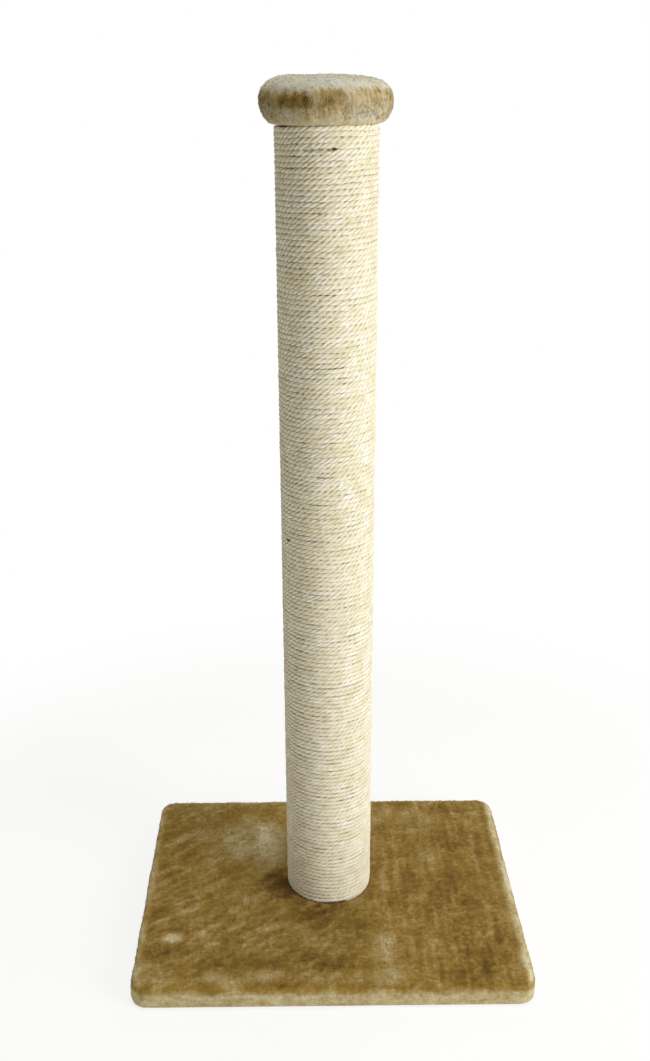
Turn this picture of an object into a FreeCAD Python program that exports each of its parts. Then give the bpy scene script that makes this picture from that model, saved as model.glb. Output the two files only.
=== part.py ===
import FreeCAD, Part
import math
import os
import re

from FreeCAD import Placement, Rotation, Vector
from Sketcher import Constraint

# A cat scratching post: a plush covered board, a rope wound card tube bolted upright on it,
# and a padded plush cap screwed to the tube's top. Millimetres. The origin is on the floor
# under the middle of the base, +X to the viewer's right, +Y away from the viewer, +Z up.

document = FreeCAD.newDocument("cat_scratching_post")

# Every size that can be set by itself, once.
SIZES = {
    # the base: a board, and the plush folded round it and under it
    "board_width": 390,
    "board_depth": 300,
    "board_thickness": 15,
    "board_corner": 12,
    "plush_side": 5,
    "plush_top": 6.5,
    "plush_edge": 6,
    "hem_thickness": 2.5,
    "hem_width": 35,
    "hem_edge": 2.4,
    "foot_pile": 2,
    "post_setback": 13,
    # the post
    "tube_bore": 76,
    "tube_wall": 3,
    "tube_length": 795,
    "plug_thickness": 20,
    "nail_diameter": 1.6,
    "nail_length": 20,
    "nail_head_diameter": 3.4,
    "nail_head_thickness": 0.6,
    "nail_count": 4,
    # the rope: its turns at the foot and at the head are counted in quarters
    "rope_diameter": 4.15,
    "turn_gap": 0.45,
    "foot_quarters": 46,
    "head_quarters": 48,
    "foot_start_angle": -68,
    # bolts, washer and nuts
    "thread_diameter": 8,
    "thread_chamfer": 0.8,
    "bolt_length": 40,
    "hexagon_width": 13,
    "hexagon_height": 5.3,
    "washer_diameter": 28,
    "washer_thickness": 1.6,
    "nut_flange_diameter": 22,
    "nut_flange_thickness": 1.5,
    "nut_barrel_wall": 1,
    "nut_barrel_length": 9,
    "prong_length": 7,
    "prong_width": 3.5,
    "prong_thickness": 1.2,
    "prong_circle_radius": 9.5,
    "prong_count": 4,
    "coach_head_diameter": 20,
    "coach_head_height": 3.6,
    "coach_head_rim": 0.8,
    "coach_neck_height": 4,
    # the cap: a round board a little wider than the wound post, its padding and its plush
    "cap_board_overhang": 0.55,
    "cap_board_thickness": 12,
    "padding_side": 3.6,
    "padding_top": 12.2,
    "padding_rise": 2,
    "padding_equator": 10,
    "cap_plush_thickness": 6.5,
    "cap_rise": 2,
    "cap_equator": 12,
    "cap_hem_reach": 14,
    "cap_lip": 2.5,
    # staples
    "staple_crown": 12,
    "staple_leg": 8,
    "staple_wire_width": 1.2,
    "staple_wire_thickness": 0.6,
    "staple_sinking": 0.6,
    "base_staple_inset": 22,
    "staples_along_width": 7,
    "staples_along_depth": 5,
    "cap_staple_inset": 8,
    "cap_staple_count": 6,
    # clearances
    "soft_gap": 0.3,
    "seat_clearance": 0.6,
    "fit_clearance": 0.05,
    "bolt_clearance": 0.5,
    "washer_clearance": 1,
    "head_cover": 0.6,
    "staple_tip_cover": 0.45,
}

sheet = document.addObject("Spreadsheet::Sheet", "sizes")
for row, (name, number) in enumerate(SIZES.items(), start=1):
    sheet.set(f"A{row}", name)
    sheet.set(f"B{row}", str(number))
    sheet.setAlias(f"B{row}", name)
document.recompute()

# Levels and radii that follow from the sizes, written in the sheet's names.
BOARD_TOP = "(hem_thickness + board_thickness)"
PLUSH_TOP = f"({BOARD_TOP} + plush_top)"
TUBE_FOOT = f"({BOARD_TOP} + foot_pile)"
TUBE_HEAD = f"({TUBE_FOOT} + tube_length)"
TUBE_RADIUS = "(tube_bore / 2 + tube_wall)"
PLUG_RADIUS = "(tube_bore / 2 - fit_clearance)"
ROPE_INNER = f"({TUBE_RADIUS} + soft_gap)"
ROPE_OUTER = f"({ROPE_INNER} + rope_diameter)"
SEAT_RADIUS = f"({ROPE_OUTER} + seat_clearance)"
ROPE_PITCH = "(rope_diameter + turn_gap)"
BOLT_HOLE = "(thread_diameter / 2 + bolt_clearance)"
BARREL_RADIUS = "(thread_diameter / 2 + nut_barrel_wall)"
RECESS_DEPTH = "(washer_thickness + hexagon_height + head_cover)"
RECESS_TOP = f"(hem_thickness + {RECESS_DEPTH})"
ROPE_STAPLE_LEG = f"({ROPE_OUTER} - staple_sinking - tube_bore / 2 - staple_tip_cover)"
CAP_HEM_RADIUS = "(tube_bore / 2 - cap_hem_reach)"
CAP_FOOT = f"({TUBE_HEAD} + hem_thickness)"
CAP_BOARD_TOP = f"({CAP_FOOT} + cap_board_thickness)"
NAIL_HOLE = "(nail_diameter / 2 + fit_clearance)"
# Heights and radii in the cap, from the underside of its board.
CAP_BOARD_RADIUS = f"({ROPE_OUTER} + cap_board_overhang)"
PADDING_INNER = f"({CAP_BOARD_RADIUS} + soft_gap)"
PADDING_RADIUS = f"({PADDING_INNER} + padding_side)"
PADDING_CROWN = "(cap_board_thickness + padding_top)"
PADDING_SHOULDER = f"({PADDING_RADIUS} - ({PADDING_CROWN} - padding_rise - padding_equator))"
CAP_RADIUS = f"({PADDING_RADIUS} + soft_gap + cap_plush_thickness)"
CAP_CROWN = f"({PADDING_CROWN} + soft_gap + cap_plush_thickness)"
CAP_SHOULDER = f"({CAP_RADIUS} - ({CAP_CROWN} - cap_rise - cap_equator))"

# How far off a level an edge may be and still count as lying on it.
SAME_LEVEL = 1e-6


def in_sheet(expression):
    """Points each name of an expression at its cell of the sheet."""
    return re.sub(r"[a-z]\w+", lambda word: "sizes." + word.group(), expression)


def size(expression):
    """The number that an expression stands for."""
    return float(sheet.evalExpression(in_sheet(expression)))


def bind(target, place, expression):
    target.setExpression(place, in_sheet(expression))


def stand(piece, level, setback="0"):
    """Sets a piece at its level, and behind the middle of the base by its setback."""
    bind(piece, "Placement.Base.z", level)
    bind(piece, "Placement.Base.y", setback)


# Sketches and features


def new_body(name):
    body = document.addObject("PartDesign::Body", name)
    body.Label = name
    return body


def origin_item(body, role):
    return next(item for item in body.Origin.OriginFeatures if item.Role == role)


def new_sketch(body, name, role="XY_Plane", level="0"):
    """A sketch on one of the body's own planes, or on that plane raised by level."""
    sketch = body.newObject("Sketcher::SketchObject", name)
    sketch.AttachmentSupport = [(origin_item(body, role), "")]
    sketch.MapMode = "FlatFace"
    bind(sketch, "AttachmentOffset.Base.z", level)
    return sketch


def dimension(sketch, kind, expression, *items):
    index = sketch.addConstraint(Constraint(kind, *items, size(expression)))
    bind(sketch, f"Constraints[{index}]", expression)


def hold_point(sketch, item, end, x, y):
    """Dimensions one point of a sketch from the sketch's origin."""
    for kind, axis, expression in (("DistanceX", -2, x), ("DistanceY", -1, y)):
        if expression == "0":
            sketch.addConstraint(Constraint("PointOnObject", item, end, axis))
        else:
            dimension(sketch, kind, expression, -1, 1, item, end)


def draw_circle(sketch, radius, x="0", y="0"):
    centre = Vector(size(x), size(y), 0)
    item = sketch.addGeometry(Part.Circle(centre, Vector(0, 0, 1), size(radius)))
    hold_point(sketch, item, 3, x, y)
    dimension(sketch, "Radius", radius, item)


def draw_square(sketch, half):
    less = f"-({half})"
    draw_outline(sketch, [(half, half), (less, half), (less, less), (half, less)])


def draw_rounded_rectangle(sketch, width, depth, radius):
    """A rectangle about the sketch's origin, with equal round corners."""
    corners = []
    for number, (right, up) in enumerate(((1, 1), (-1, 1), (-1, -1), (1, -1))):
        x = f"{right} * ({width} / 2 - {radius})"
        y = f"{up} * ({depth} / 2 - {radius})"
        circle = Part.Circle(Vector(size(x), size(y), 0), Vector(0, 0, 1), size(radius))
        start = number * math.pi / 2
        item = sketch.addGeometry(Part.ArcOfCircle(circle, start, start + math.pi / 2))
        hold_point(sketch, item, 3, x, y)
        dimension(sketch, "Radius", radius, item)
        corners.append(item)
    for corner, following in zip(corners, corners[1:] + corners[:1]):
        start = sketch.Geometry[corner].EndPoint
        end = sketch.Geometry[following].StartPoint
        side = sketch.addGeometry(Part.LineSegment(start, end))
        sketch.addConstraint(Constraint("Tangent", corner, 2, side, 1))
        sketch.addConstraint(Constraint("Tangent", side, 2, following, 1))


def tangent_arc(start, end, direction, held):
    """The arc whose centre lies level or plumb with its held end, drawn anticlockwise."""
    near, far = (start, end) if held == "start" else (end, start)
    across = far - near
    if direction == "level":
        centre = near + Vector(across.Length**2 / (2 * across.x), 0, 0)
    else:
        centre = near + Vector(0, across.Length**2 / (2 * across.y), 0)
    outward = (start - centre).normalize() + (end - centre).normalize()
    middle = centre + outward.normalize() * (near - centre).Length
    anticlockwise = (start - centre).cross(end - centre).z > 0
    return Part.Arc(start, middle, end) if anticlockwise else Part.Arc(end, middle, start)


def end_at(sketch, item, spot):
    """Which end of a drawn line or arc lies at a spot."""
    drawn = sketch.Geometry[item]
    return 1 if (drawn.StartPoint - spot).Length < (drawn.EndPoint - spot).Length else 2


def draw_outline(sketch, steps):
    """A closed outline. Each step is a corner x, y and how the outline goes on from it:
    nothing for a line, or for an arc where its centre lies, such as "level with end"."""
    spots = [Vector(size(step[0]), size(step[1]), 0) for step in steps]
    following = spots[1:] + spots[:1]
    items = []
    for step, start, end in zip(steps, spots, following):
        if len(step) == 2:
            shape = Part.LineSegment(start, end)
        else:
            direction, _, held = step[2].split()
            shape = tangent_arc(start, end, direction, held)
        items.append(sketch.addGeometry(shape))
    for number, (step, start, end) in enumerate(zip(steps, spots, following)):
        item = items[number]
        after = items[(number + 1) % len(items)]
        first = end_at(sketch, item, start)
        last = end_at(sketch, item, end)
        hold_point(sketch, item, first, step[0], step[1])
        sketch.addConstraint(Constraint("Coincident", item, last, after, end_at(sketch, after, end)))
        if len(step) == 3:
            direction, _, held = step[2].split()
            kind = "Horizontal" if direction == "level" else "Vertical"
            sketch.addConstraint(Constraint(kind, item, 3, item, first if held == "start" else last))


def shape_from(body, kind, sketch, length=None, turned=False):
    """A pad, pocket, revolution or groove of a sketch, checked to add or take away material."""
    before = body.Shape.Volume if body.Tip else 0
    made = body.newObject(f"PartDesign::{kind}", f"{sketch.Name}_{kind.lower()}")
    made.Profile = sketch
    made.Reversed = turned
    if kind in ("Revolution", "Groove"):
        made.ReferenceAxis = (sketch, ["V_Axis"])
        made.Angle = 360
    else:
        bind(made, "Length", length)
    document.recompute()
    added = body.Shape.Volume - before
    if kind in ("Pocket", "Groove"):
        added = -added
    if added <= 0:
        raise ValueError(f"{made.Name} neither adds nor takes away")
    return made


def repeat_round(body, made, count):
    """Copies a feature round the body's Z axis."""
    pattern = body.newObject("PartDesign::PolarPattern", f"{made.Name}_round")
    pattern.Originals = [made]
    pattern.Axis = (origin_item(body, "Z_Axis"), [""])
    pattern.Angle = 360
    bind(pattern, "Occurrences", count)
    body.Tip = pattern
    document.recompute()


def dress_edges(body, kind, reach, level):
    """Fillets or chamfers the body's edges that lie at one level."""
    base = body.Tip
    height = size(level)
    edges = []
    for number, edge in enumerate(base.Shape.Edges, start=1):
        box = edge.BoundBox
        if max(abs(box.ZMin - height), abs(box.ZMax - height)) < SAME_LEVEL:
            edges.append(f"Edge{number}")
    dressed = body.newObject(f"PartDesign::{kind}", f"{body.Name}_{reach}")
    dressed.Base = (base, edges)
    bind(dressed, "Radius" if kind == "Fillet" else "Size", reach)
    document.recompute()


def cut_out(name, blank, tool):
    """A piece with the room that another piece, or a group of small ones, takes up in it."""
    blank.Label = f"{name}_blank"
    piece = document.addObject("Part::Cut", name)
    piece.Base = blank
    piece.Tool = tool
    piece.Label = name
    document.recompute()
    if not piece.Shape.Volume < blank.Shape.Volume:
        raise ValueError(f"{name} isn't cut by {tool.Label}")
    return piece


def plain_feature(name, shape):
    piece = document.addObject("Part::Feature", name)
    piece.Shape = shape
    piece.Label = name
    return piece


# Staples: made lying under the face that they are driven up into, crown down, along X


def staple_shape(leg_length):
    half = size("staple_crown / 2")
    wire = size("staple_wire_thickness")
    width = size("staple_wire_width")
    leg = size(leg_length)
    corners = [
        (-half, 0), (half, 0), (half, leg), (half - wire, leg),
        (half - wire, wire), (wire - half, wire), (wire - half, leg), (-half, leg),
    ]
    outline = [Vector(x, -width / 2, z) for x, z in corners]
    face = Part.Face(Part.makePolygon(outline + outline[:1]))
    return face.extrude(Vector(0, width, 0))


def dimple_shape():
    """The fabric pressed away under a staple's crown."""
    room = size("staple_sinking")
    length = size("staple_crown") + 2 * room
    width = size("staple_wire_width") + 2 * room
    depth = room + size("staple_wire_thickness")
    return Part.makeBox(length, width, depth, Vector(-length / 2, -width / 2, -room))


def copies(shape, places):
    made = []
    for place in places:
        copy = shape.copy()
        copy.Placement = place
        made.append(copy)
    return Part.makeCompound(made)


def spread(count, length):
    """Evenly spaced places along a length, half a space in from its ends."""
    return [(number + 0.5) * length / count - length / 2 for number in range(count)]


def base_staple_places():
    reach_x = size("board_width / 2 - base_staple_inset")
    reach_y = size("board_depth / 2 - base_staple_inset")
    level = size("staple_sinking")
    places = []
    for side in (-1, 1):
        for x in spread(int(size("staples_along_width")), 2 * reach_x):
            places.append(Placement(Vector(x, side * reach_y, level), Rotation()))
        for y in spread(int(size("staples_along_depth")), 2 * reach_y):
            across = Rotation(Vector(0, 0, 1), 90)
            places.append(Placement(Vector(side * reach_x, y, level), across))
    return places


def cap_staple_places():
    count = int(size("cap_staple_count"))
    level = size(f"{TUBE_HEAD} + staple_sinking")
    centre = Vector(0, size("post_setback"), level)
    places = []
    for number in range(count):
        turn = Rotation(Vector(0, 0, 1), 360 * number / count)
        out = turn.multVec(Vector(0, size("tube_bore / 2 - cap_staple_inset"), 0))
        places.append(Placement(centre + out, turn))
    return places


# The base


def make_base_board(staples):
    body = new_body("base_board_blank")
    outline = new_sketch(body, "board_outline")
    draw_rounded_rectangle(outline, "board_width", "board_depth", "board_corner")
    shape_from(body, "Pad", outline, "board_thickness")
    hole = new_sketch(body, "board_bolt_hole")
    draw_circle(hole, BOLT_HOLE, "0", "post_setback")
    shape_from(body, "Pocket", hole, "board_thickness", turned=True)
    recess = new_sketch(body, "board_bolt_recess")
    draw_circle(recess, "washer_diameter / 2 + washer_clearance", "0", "post_setback")
    shape_from(body, "Pocket", recess, RECESS_DEPTH, turned=True)
    stand(body, "hem_thickness")
    return cut_out("base_board", body, staples)


def make_base_plush(staples):
    body = new_body("base_plush_blank")
    outline = new_sketch(body, "plush_outline")
    draw_rounded_rectangle(
        outline,
        "(board_width + 2 * plush_side)",
        "(board_depth + 2 * plush_side)",
        "(board_corner + plush_side)",
    )
    shape_from(body, "Pad", outline, PLUSH_TOP)
    dress_edges(body, "Fillet", "plush_edge", PLUSH_TOP)
    dress_edges(body, "Fillet", "hem_edge", "0")
    room = new_sketch(body, "room_for_board", level="hem_thickness")
    draw_rounded_rectangle(
        room,
        "(board_width + 2 * soft_gap)",
        "(board_depth + 2 * soft_gap)",
        "(board_corner + soft_gap)",
    )
    shape_from(body, "Pocket", room, "board_thickness", turned=True)
    opening = new_sketch(body, "hem_opening")
    draw_rounded_rectangle(
        opening,
        "(board_width - 2 * hem_width)",
        "(board_depth - 2 * hem_width)",
        "board_corner",
    )
    shape_from(body, "Pocket", opening, "hem_thickness", turned=True)
    seat = new_sketch(body, "post_seat", level=TUBE_FOOT)
    draw_circle(seat, SEAT_RADIUS, "0", "post_setback")
    shape_from(body, "Pocket", seat, "plush_top - foot_pile", turned=True)
    hole = new_sketch(body, "plush_bolt_hole", level=BOARD_TOP)
    draw_circle(hole, BOLT_HOLE, "0", "post_setback")
    shape_from(body, "Pocket", hole, "foot_pile", turned=True)
    pressed = Part.makeCompound([staples.Shape, copies(dimple_shape(), base_staple_places())])
    return cut_out("base_plush", body, plain_feature("base_staple_room", pressed))


# The post


def make_post_tube():
    body = new_body("post_tube")
    ring = new_sketch(body, "tube_ring")
    draw_circle(ring, TUBE_RADIUS)
    draw_circle(ring, "tube_bore / 2")
    shape_from(body, "Pad", ring, "tube_length")
    head_seat = f"{TUBE_RADIUS} - nail_head_thickness"
    for row, level in (("foot", "plug_thickness / 2"), ("head", "tube_length - plug_thickness / 2")):
        for part, radius, start in (
            ("shank", NAIL_HOLE, "0"),
            ("head", "nail_head_diameter / 2 + fit_clearance", head_seat),
        ):
            hole = new_sketch(body, f"tube_{row}_nail_{part}", "YZ_Plane", start)
            draw_circle(hole, radius, "0", level)
            made = shape_from(body, "Pocket", hole, TUBE_RADIUS, turned=True)
            repeat_round(body, made, "nail_count")
    stand(body, TUBE_FOOT, "post_setback")
    return body


def make_plug(name, level, nut_at_top):
    """A wooden disc with room for the nut's barrel and prongs and for the nails."""
    body = new_body(f"{name}_blank")
    disc = new_sketch(body, f"{name}_disc")
    draw_circle(disc, PLUG_RADIUS)
    shape_from(body, "Pad", disc, "plug_thickness")
    bolt = new_sketch(body, f"{name}_bolt_hole")
    draw_circle(bolt, BOLT_HOLE)
    shape_from(body, "Pocket", bolt, "plug_thickness", turned=True)
    deep = "plug_thickness - nut_barrel_length" if nut_at_top else "0"
    barrel = new_sketch(body, f"{name}_barrel_hole", level=deep)
    draw_circle(barrel, f"({BARREL_RADIUS} + fit_clearance)")
    shape_from(body, "Pocket", barrel, "nut_barrel_length", turned=True)
    nail = new_sketch(body, f"{name}_nail_hole", "YZ_Plane", f"{TUBE_RADIUS} - nail_length")
    draw_circle(nail, NAIL_HOLE, "0", "plug_thickness / 2")
    made = shape_from(body, "Pocket", nail, "nail_length", turned=True)
    repeat_round(body, made, "nail_count")
    stand(body, level, "post_setback")
    return body


def make_tee_nut(name, level, points_down):
    """A stamped nut: a flange, a threaded barrel with its thread left plain, and prongs."""
    body = new_body(name)
    flange = new_sketch(body, f"{name}_flange")
    draw_circle(flange, "nut_flange_diameter / 2")
    shape_from(body, "Pad", flange, "nut_flange_thickness")
    barrel = new_sketch(body, f"{name}_barrel")
    draw_circle(barrel, BARREL_RADIUS)
    shape_from(body, "Pad", barrel, "nut_barrel_length", turned=True)
    prong = new_sketch(body, f"{name}_prong", "XZ_Plane", "-prong_thickness / 2")
    inner = "prong_circle_radius - prong_width / 2"
    outer = "prong_circle_radius + prong_width / 2"
    draw_outline(prong, [(inner, "0"), ("prong_circle_radius", "-prong_length"), (outer, "0")])
    made = shape_from(body, "Pad", prong, "prong_thickness")
    repeat_round(body, made, "prong_count")
    bore = new_sketch(body, f"{name}_bore", level="-nut_barrel_length")
    draw_circle(bore, "(thread_diameter / 2 + fit_clearance)")
    shape_from(body, "Pocket", bore, "nut_barrel_length + nut_flange_thickness", turned=True)
    if not points_down:
        body.Placement.Rotation = Rotation(Vector(1, 0, 0), 180)
    stand(body, level, "post_setback")
    return body


def make_nails(name, level):
    """Nails driven in through the tube's wall, as a group of separate solids."""
    body = new_body(name)
    body.AllowCompound = True
    for part, radius, start, length in (
        ("shank", "nail_diameter / 2", f"{TUBE_RADIUS} - nail_length", "nail_length"),
        ("head", "nail_head_diameter / 2", f"{TUBE_RADIUS} - nail_head_thickness", "nail_head_thickness"),
    ):
        profile = new_sketch(body, f"{name}_{part}", "YZ_Plane", start)
        draw_circle(profile, radius)
        made = shape_from(body, "Pad", profile, length)
        repeat_round(body, made, "nail_count")
    stand(body, level, "post_setback")
    return body


def make_hexagon_bolt():
    """The bolt that comes up through the base, its head down in the board's recess."""
    body = new_body("post_bolt")
    hexagon = new_sketch(body, "bolt_hexagon")
    side = "hexagon_width / 2"
    corner = "hexagon_width / 3 ^ 0.5"
    draw_outline(hexagon, [
        (side, f"{corner} / 2"), ("0", corner), (f"-{side}", f"{corner} / 2"),
        (f"-{side}", f"-{corner} / 2"), ("0", f"-{corner}"), (side, f"-{corner} / 2"),
    ])
    shape_from(body, "Pad", hexagon, "hexagon_height", turned=True)
    bevel = new_sketch(body, "bolt_hexagon_bevel", "XZ_Plane")
    draw_outline(bevel, [
        (side, "-hexagon_height"),
        ("hexagon_width", "-hexagon_height"),
        ("hexagon_width", "-hexagon_height + hexagon_width / 2 / 3 ^ 0.5"),
    ])
    shape_from(body, "Groove", bevel)
    shank = new_sketch(body, "bolt_shank")
    draw_circle(shank, "thread_diameter / 2")
    shape_from(body, "Pad", shank, "bolt_length")
    dress_edges(body, "Chamfer", "thread_chamfer", "bolt_length")
    stand(body, f"{RECESS_TOP} - washer_thickness", "post_setback")
    return body


def make_washer():
    body = new_body("bolt_washer")
    ring = new_sketch(body, "washer_ring")
    draw_circle(ring, "washer_diameter / 2")
    draw_circle(ring, BOLT_HOLE)
    shape_from(body, "Pad", ring, "washer_thickness")
    stand(body, f"{RECESS_TOP} - washer_thickness", "post_setback")
    return body


# The cap: its pieces are drawn from the underside of its board


def make_cap_board(staples):
    body = new_body("cap_board_blank")
    disc = new_sketch(body, "cap_disc")
    draw_circle(disc, CAP_BOARD_RADIUS)
    shape_from(body, "Pad", disc, "cap_board_thickness")
    hole = new_sketch(body, "cap_bolt_hole")
    draw_circle(hole, BOLT_HOLE)
    shape_from(body, "Pocket", hole, "cap_board_thickness", turned=True)
    neck = new_sketch(body, "cap_neck_hole", level="cap_board_thickness - coach_neck_height")
    draw_square(neck, "thread_diameter / 2 + fit_clearance")
    shape_from(body, "Pocket", neck, "coach_neck_height", turned=True)
    stand(body, CAP_FOOT, "post_setback")
    return cut_out("cap_board", body, staples)


def make_cap_bolt():
    """A coach bolt: its square neck stops it turning in the cap's board."""
    body = new_body("cap_bolt")
    head = new_sketch(body, "coach_head", "XZ_Plane")
    radius = "coach_head_diameter / 2"
    draw_outline(head, [
        ("0", "0"), (radius, "0"), (radius, "coach_head_rim", "plumb with end"),
        ("0", "coach_head_height"),
    ])
    shape_from(body, "Revolution", head)
    neck = new_sketch(body, "coach_neck")
    draw_square(neck, "thread_diameter / 2")
    shape_from(body, "Pad", neck, "coach_neck_height", turned=True)
    shank = new_sketch(body, "coach_shank")
    draw_circle(shank, "thread_diameter / 2")
    shape_from(body, "Pad", shank, "bolt_length", turned=True)
    dress_edges(body, "Chamfer", "thread_chamfer", "-bolt_length")
    stand(body, CAP_BOARD_TOP, "post_setback")
    return body


def make_cap_padding():
    """Wadding over the board's top and round its edge."""
    body = new_body("cap_padding")
    profile = new_sketch(body, "padding_profile", "XZ_Plane")
    draw_outline(profile, [
        ("0", "cap_board_thickness"),
        (PADDING_INNER, "cap_board_thickness"),
        (PADDING_INNER, "0"),
        (PADDING_RADIUS, "0"),
        (PADDING_RADIUS, "padding_equator", "level with start"),
        (PADDING_SHOULDER, f"{PADDING_CROWN} - padding_rise", "plumb with end"),
        ("0", PADDING_CROWN),
    ])
    shape_from(body, "Revolution", profile)
    room = new_sketch(body, "room_for_bolt_head", level="cap_board_thickness")
    draw_circle(room, "coach_head_diameter / 2 + soft_gap")
    shape_from(body, "Pocket", room, "coach_head_height + soft_gap", turned=True)
    stand(body, CAP_FOOT, "post_setback")
    return body


def make_cap_plush(staples):
    """The cover: crown, round rim, the pile that hangs past the tube's end, and the hem
    turned in under the board."""
    body = new_body("cap_plush_blank")
    lining_radius = f"{PADDING_RADIUS} + soft_gap"
    lining_shoulder = f"{PADDING_SHOULDER} + soft_gap"
    lining_crown = f"{PADDING_CROWN} + soft_gap"
    profile = new_sketch(body, "cap_plush_profile", "XZ_Plane")
    draw_outline(profile, [
        (CAP_HEM_RADIUS, "-hem_thickness"),
        (SEAT_RADIUS, "-hem_thickness"),
        (SEAT_RADIUS, "-hem_thickness - cap_lip", "level with end"),
        (CAP_RADIUS, "cap_equator", "level with start"),
        (CAP_SHOULDER, f"{CAP_CROWN} - cap_rise", "plumb with end"),
        ("0", CAP_CROWN),
        ("0", lining_crown, "plumb with start"),
        (lining_shoulder, f"{lining_crown} - padding_rise", "level with end"),
        (lining_radius, "padding_equator"),
        (lining_radius, "0"),
        (CAP_HEM_RADIUS, "0"),
    ])
    shape_from(body, "Revolution", profile)
    stand(body, CAP_FOOT, "post_setback")
    document.recompute()
    pressed = Part.makeCompound([staples.Shape, copies(dimple_shape(), cap_staple_places())])
    return cut_out("cap_plush", body, plain_feature("cap_staple_room", pressed))


# The rope: true turns at the foot and at the head, and a plain sleeve between them


def helix_point(radius, pitch, angle):
    return Vector(radius * math.cos(angle), radius * math.sin(angle), pitch * angle / math.tau)


def helix_direction(radius, pitch, angle):
    rise = pitch / math.tau
    return Vector(-radius * math.sin(angle), radius * math.cos(angle), rise).normalize()


def arc_from(start, direction, end):
    """The arc that leaves start along a direction and reaches end."""
    chord = end - start
    inward = (chord - direction * chord.dot(direction)).normalize()
    radius = chord.Length**2 / (2 * chord.dot(inward))
    centre = start + inward * radius
    outward = (start - centre).normalize() + (end - centre).normalize()
    return Part.Arc(start, centre + outward.normalize() * radius, end).toShape()


def biarc(start, leaving, end, arriving):
    """Two tangent arcs between two points with given directions."""
    across = end - start
    both = leaving + arriving
    square = 2 * (leaving.dot(arriving) - 1)
    root = math.sqrt(4 * across.dot(both) ** 2 - 4 * square * across.dot(across))
    reach = (2 * across.dot(both) - root) / (2 * square)
    before = start + leaving * reach
    after = end - arriving * reach
    middle = (before + after) / 2
    return [arc_from(start, leaving, middle), arc_from(middle, (after - before).normalize(), end)]


def winding(name, start_angle, quarters, start_level):
    """One unbroken tube of turns, its two ends straight for one tube diameter."""
    diameter = size("rope_diameter")
    pitch = size(ROPE_PITCH)
    radius = size(f"{ROPE_INNER} + rope_diameter / 2")
    angles = [number * math.pi / 2 for number in range(quarters + 1)]
    points = [helix_point(radius, pitch, angle) for angle in angles]
    directions = [helix_direction(radius, pitch, angle) for angle in angles]
    first = points[0] - directions[0] * diameter
    last = points[-1] + directions[-1] * diameter
    edges = [Part.LineSegment(first, points[0]).toShape()]
    for number in range(quarters):
        ends = (points[number], directions[number], points[number + 1], directions[number + 1])
        edges.extend(biarc(*ends))
    edges.append(Part.LineSegment(points[-1], last).toShape())
    route = Part.Wire(edges)
    section = Part.Wire([Part.makeCircle(diameter / 2, first, directions[0])])
    section_area = math.pi * diameter**2 / 4
    pipe = Part.BRepOffsetAPI.MakePipeShell(route)
    pipe.add(section)
    pipe.build()
    pipe.makeSolid()
    solid = pipe.shape()
    print(f"{name}: length {route.Length:.1f}")
    print(f"{name}: least gap to itself {least_gap(route, diameter, math.tau * radius):.2f}")
    print(f"{name}: volume {solid.Volume:.0f}, section times length {section_area * route.Length:.0f}")
    place = Vector(0, size("post_setback"), start_level)
    solid.Placement = Placement(place, Rotation(Vector(0, 0, 1), start_angle))
    return solid


def least_gap(route, diameter, turn_length):
    """The least gap between a turn and the next, from points along the tube's middle."""
    spacing = diameter / 4
    points = route.discretize(Distance=spacing)
    half_turn = int(turn_length / 2 / spacing)
    nearest = min(
        (point - other).Length
        for number, point in enumerate(points)
        for other in points[number + half_turn:number + 3 * half_turn:4]
    )
    return nearest - diameter


def rope_staple_places():
    """Across the rope's two ends, a crown's length in from the cut ends."""
    crown = size("staple_crown")
    inset = math.degrees(crown / size(ROPE_OUTER))
    end_angle = size("foot_start_angle") + 90 * size("foot_quarters")
    rise = size(ROPE_PITCH) * inset / 360
    low = size(f"{TUBE_FOOT} + soft_gap + rope_diameter / 2") + rise
    high = size(f"{TUBE_HEAD} - soft_gap - rope_diameter / 2") - rise
    depth = size(f"{ROPE_OUTER} - staple_sinking")
    inward = Rotation(Vector(1, 0, 0), -90)
    places = []
    for angle, level in (
        (size("foot_start_angle") + inset, low),
        (end_angle + 90 * size("head_quarters") - inset, high),
    ):
        turn = Rotation(Vector(0, 0, 1), angle + 90)
        out = turn.multVec(Vector(0, -depth, 0))
        place = out + Vector(0, size("post_setback"), level)
        places.append(Placement(place, turn.multiply(inward)))
    return places


def make_rope_turns(staples):
    """The turns at the foot and at the head, with room for their staples."""
    dimples = copies(dimple_shape(), rope_staple_places())
    room = plain_feature("rope_staple_room", Part.makeCompound([staples.Shape, dimples]))
    foot_quarters = int(size("foot_quarters"))
    head_quarters = int(size("head_quarters"))
    foot_angle = size("foot_start_angle")
    head_angle = foot_angle + 90 * foot_quarters
    foot_level = size(f"{TUBE_FOOT} + soft_gap + rope_diameter / 2")
    head_end = f"{TUBE_HEAD} - soft_gap - rope_diameter / 2"
    head_level = size(f"{head_end} - head_quarters / 4 * {ROPE_PITCH}")
    foot = winding("sisal_rope_foot", foot_angle, foot_quarters, foot_level)
    head = winding("sisal_rope_head", head_angle, head_quarters, head_level)
    return [
        cut_out("sisal_rope_foot", plain_feature("foot_turns", foot), room),
        cut_out("sisal_rope_head", plain_feature("head_turns", head), room),
    ]


def make_rope_sleeve():
    body = new_body("sisal_rope_middle")
    ends = "(2 * soft_gap + rope_diameter)"
    start = f"({TUBE_FOOT} + {ends} + foot_quarters / 4 * {ROPE_PITCH})"
    end = f"({TUBE_HEAD} - {ends} - head_quarters / 4 * {ROPE_PITCH})"
    ring = new_sketch(body, "sleeve_ring")
    draw_circle(ring, ROPE_OUTER)
    draw_circle(ring, ROPE_INNER)
    shape_from(body, "Pad", ring, f"{end} - {start}")
    stand(body, start, "post_setback")
    return body


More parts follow.
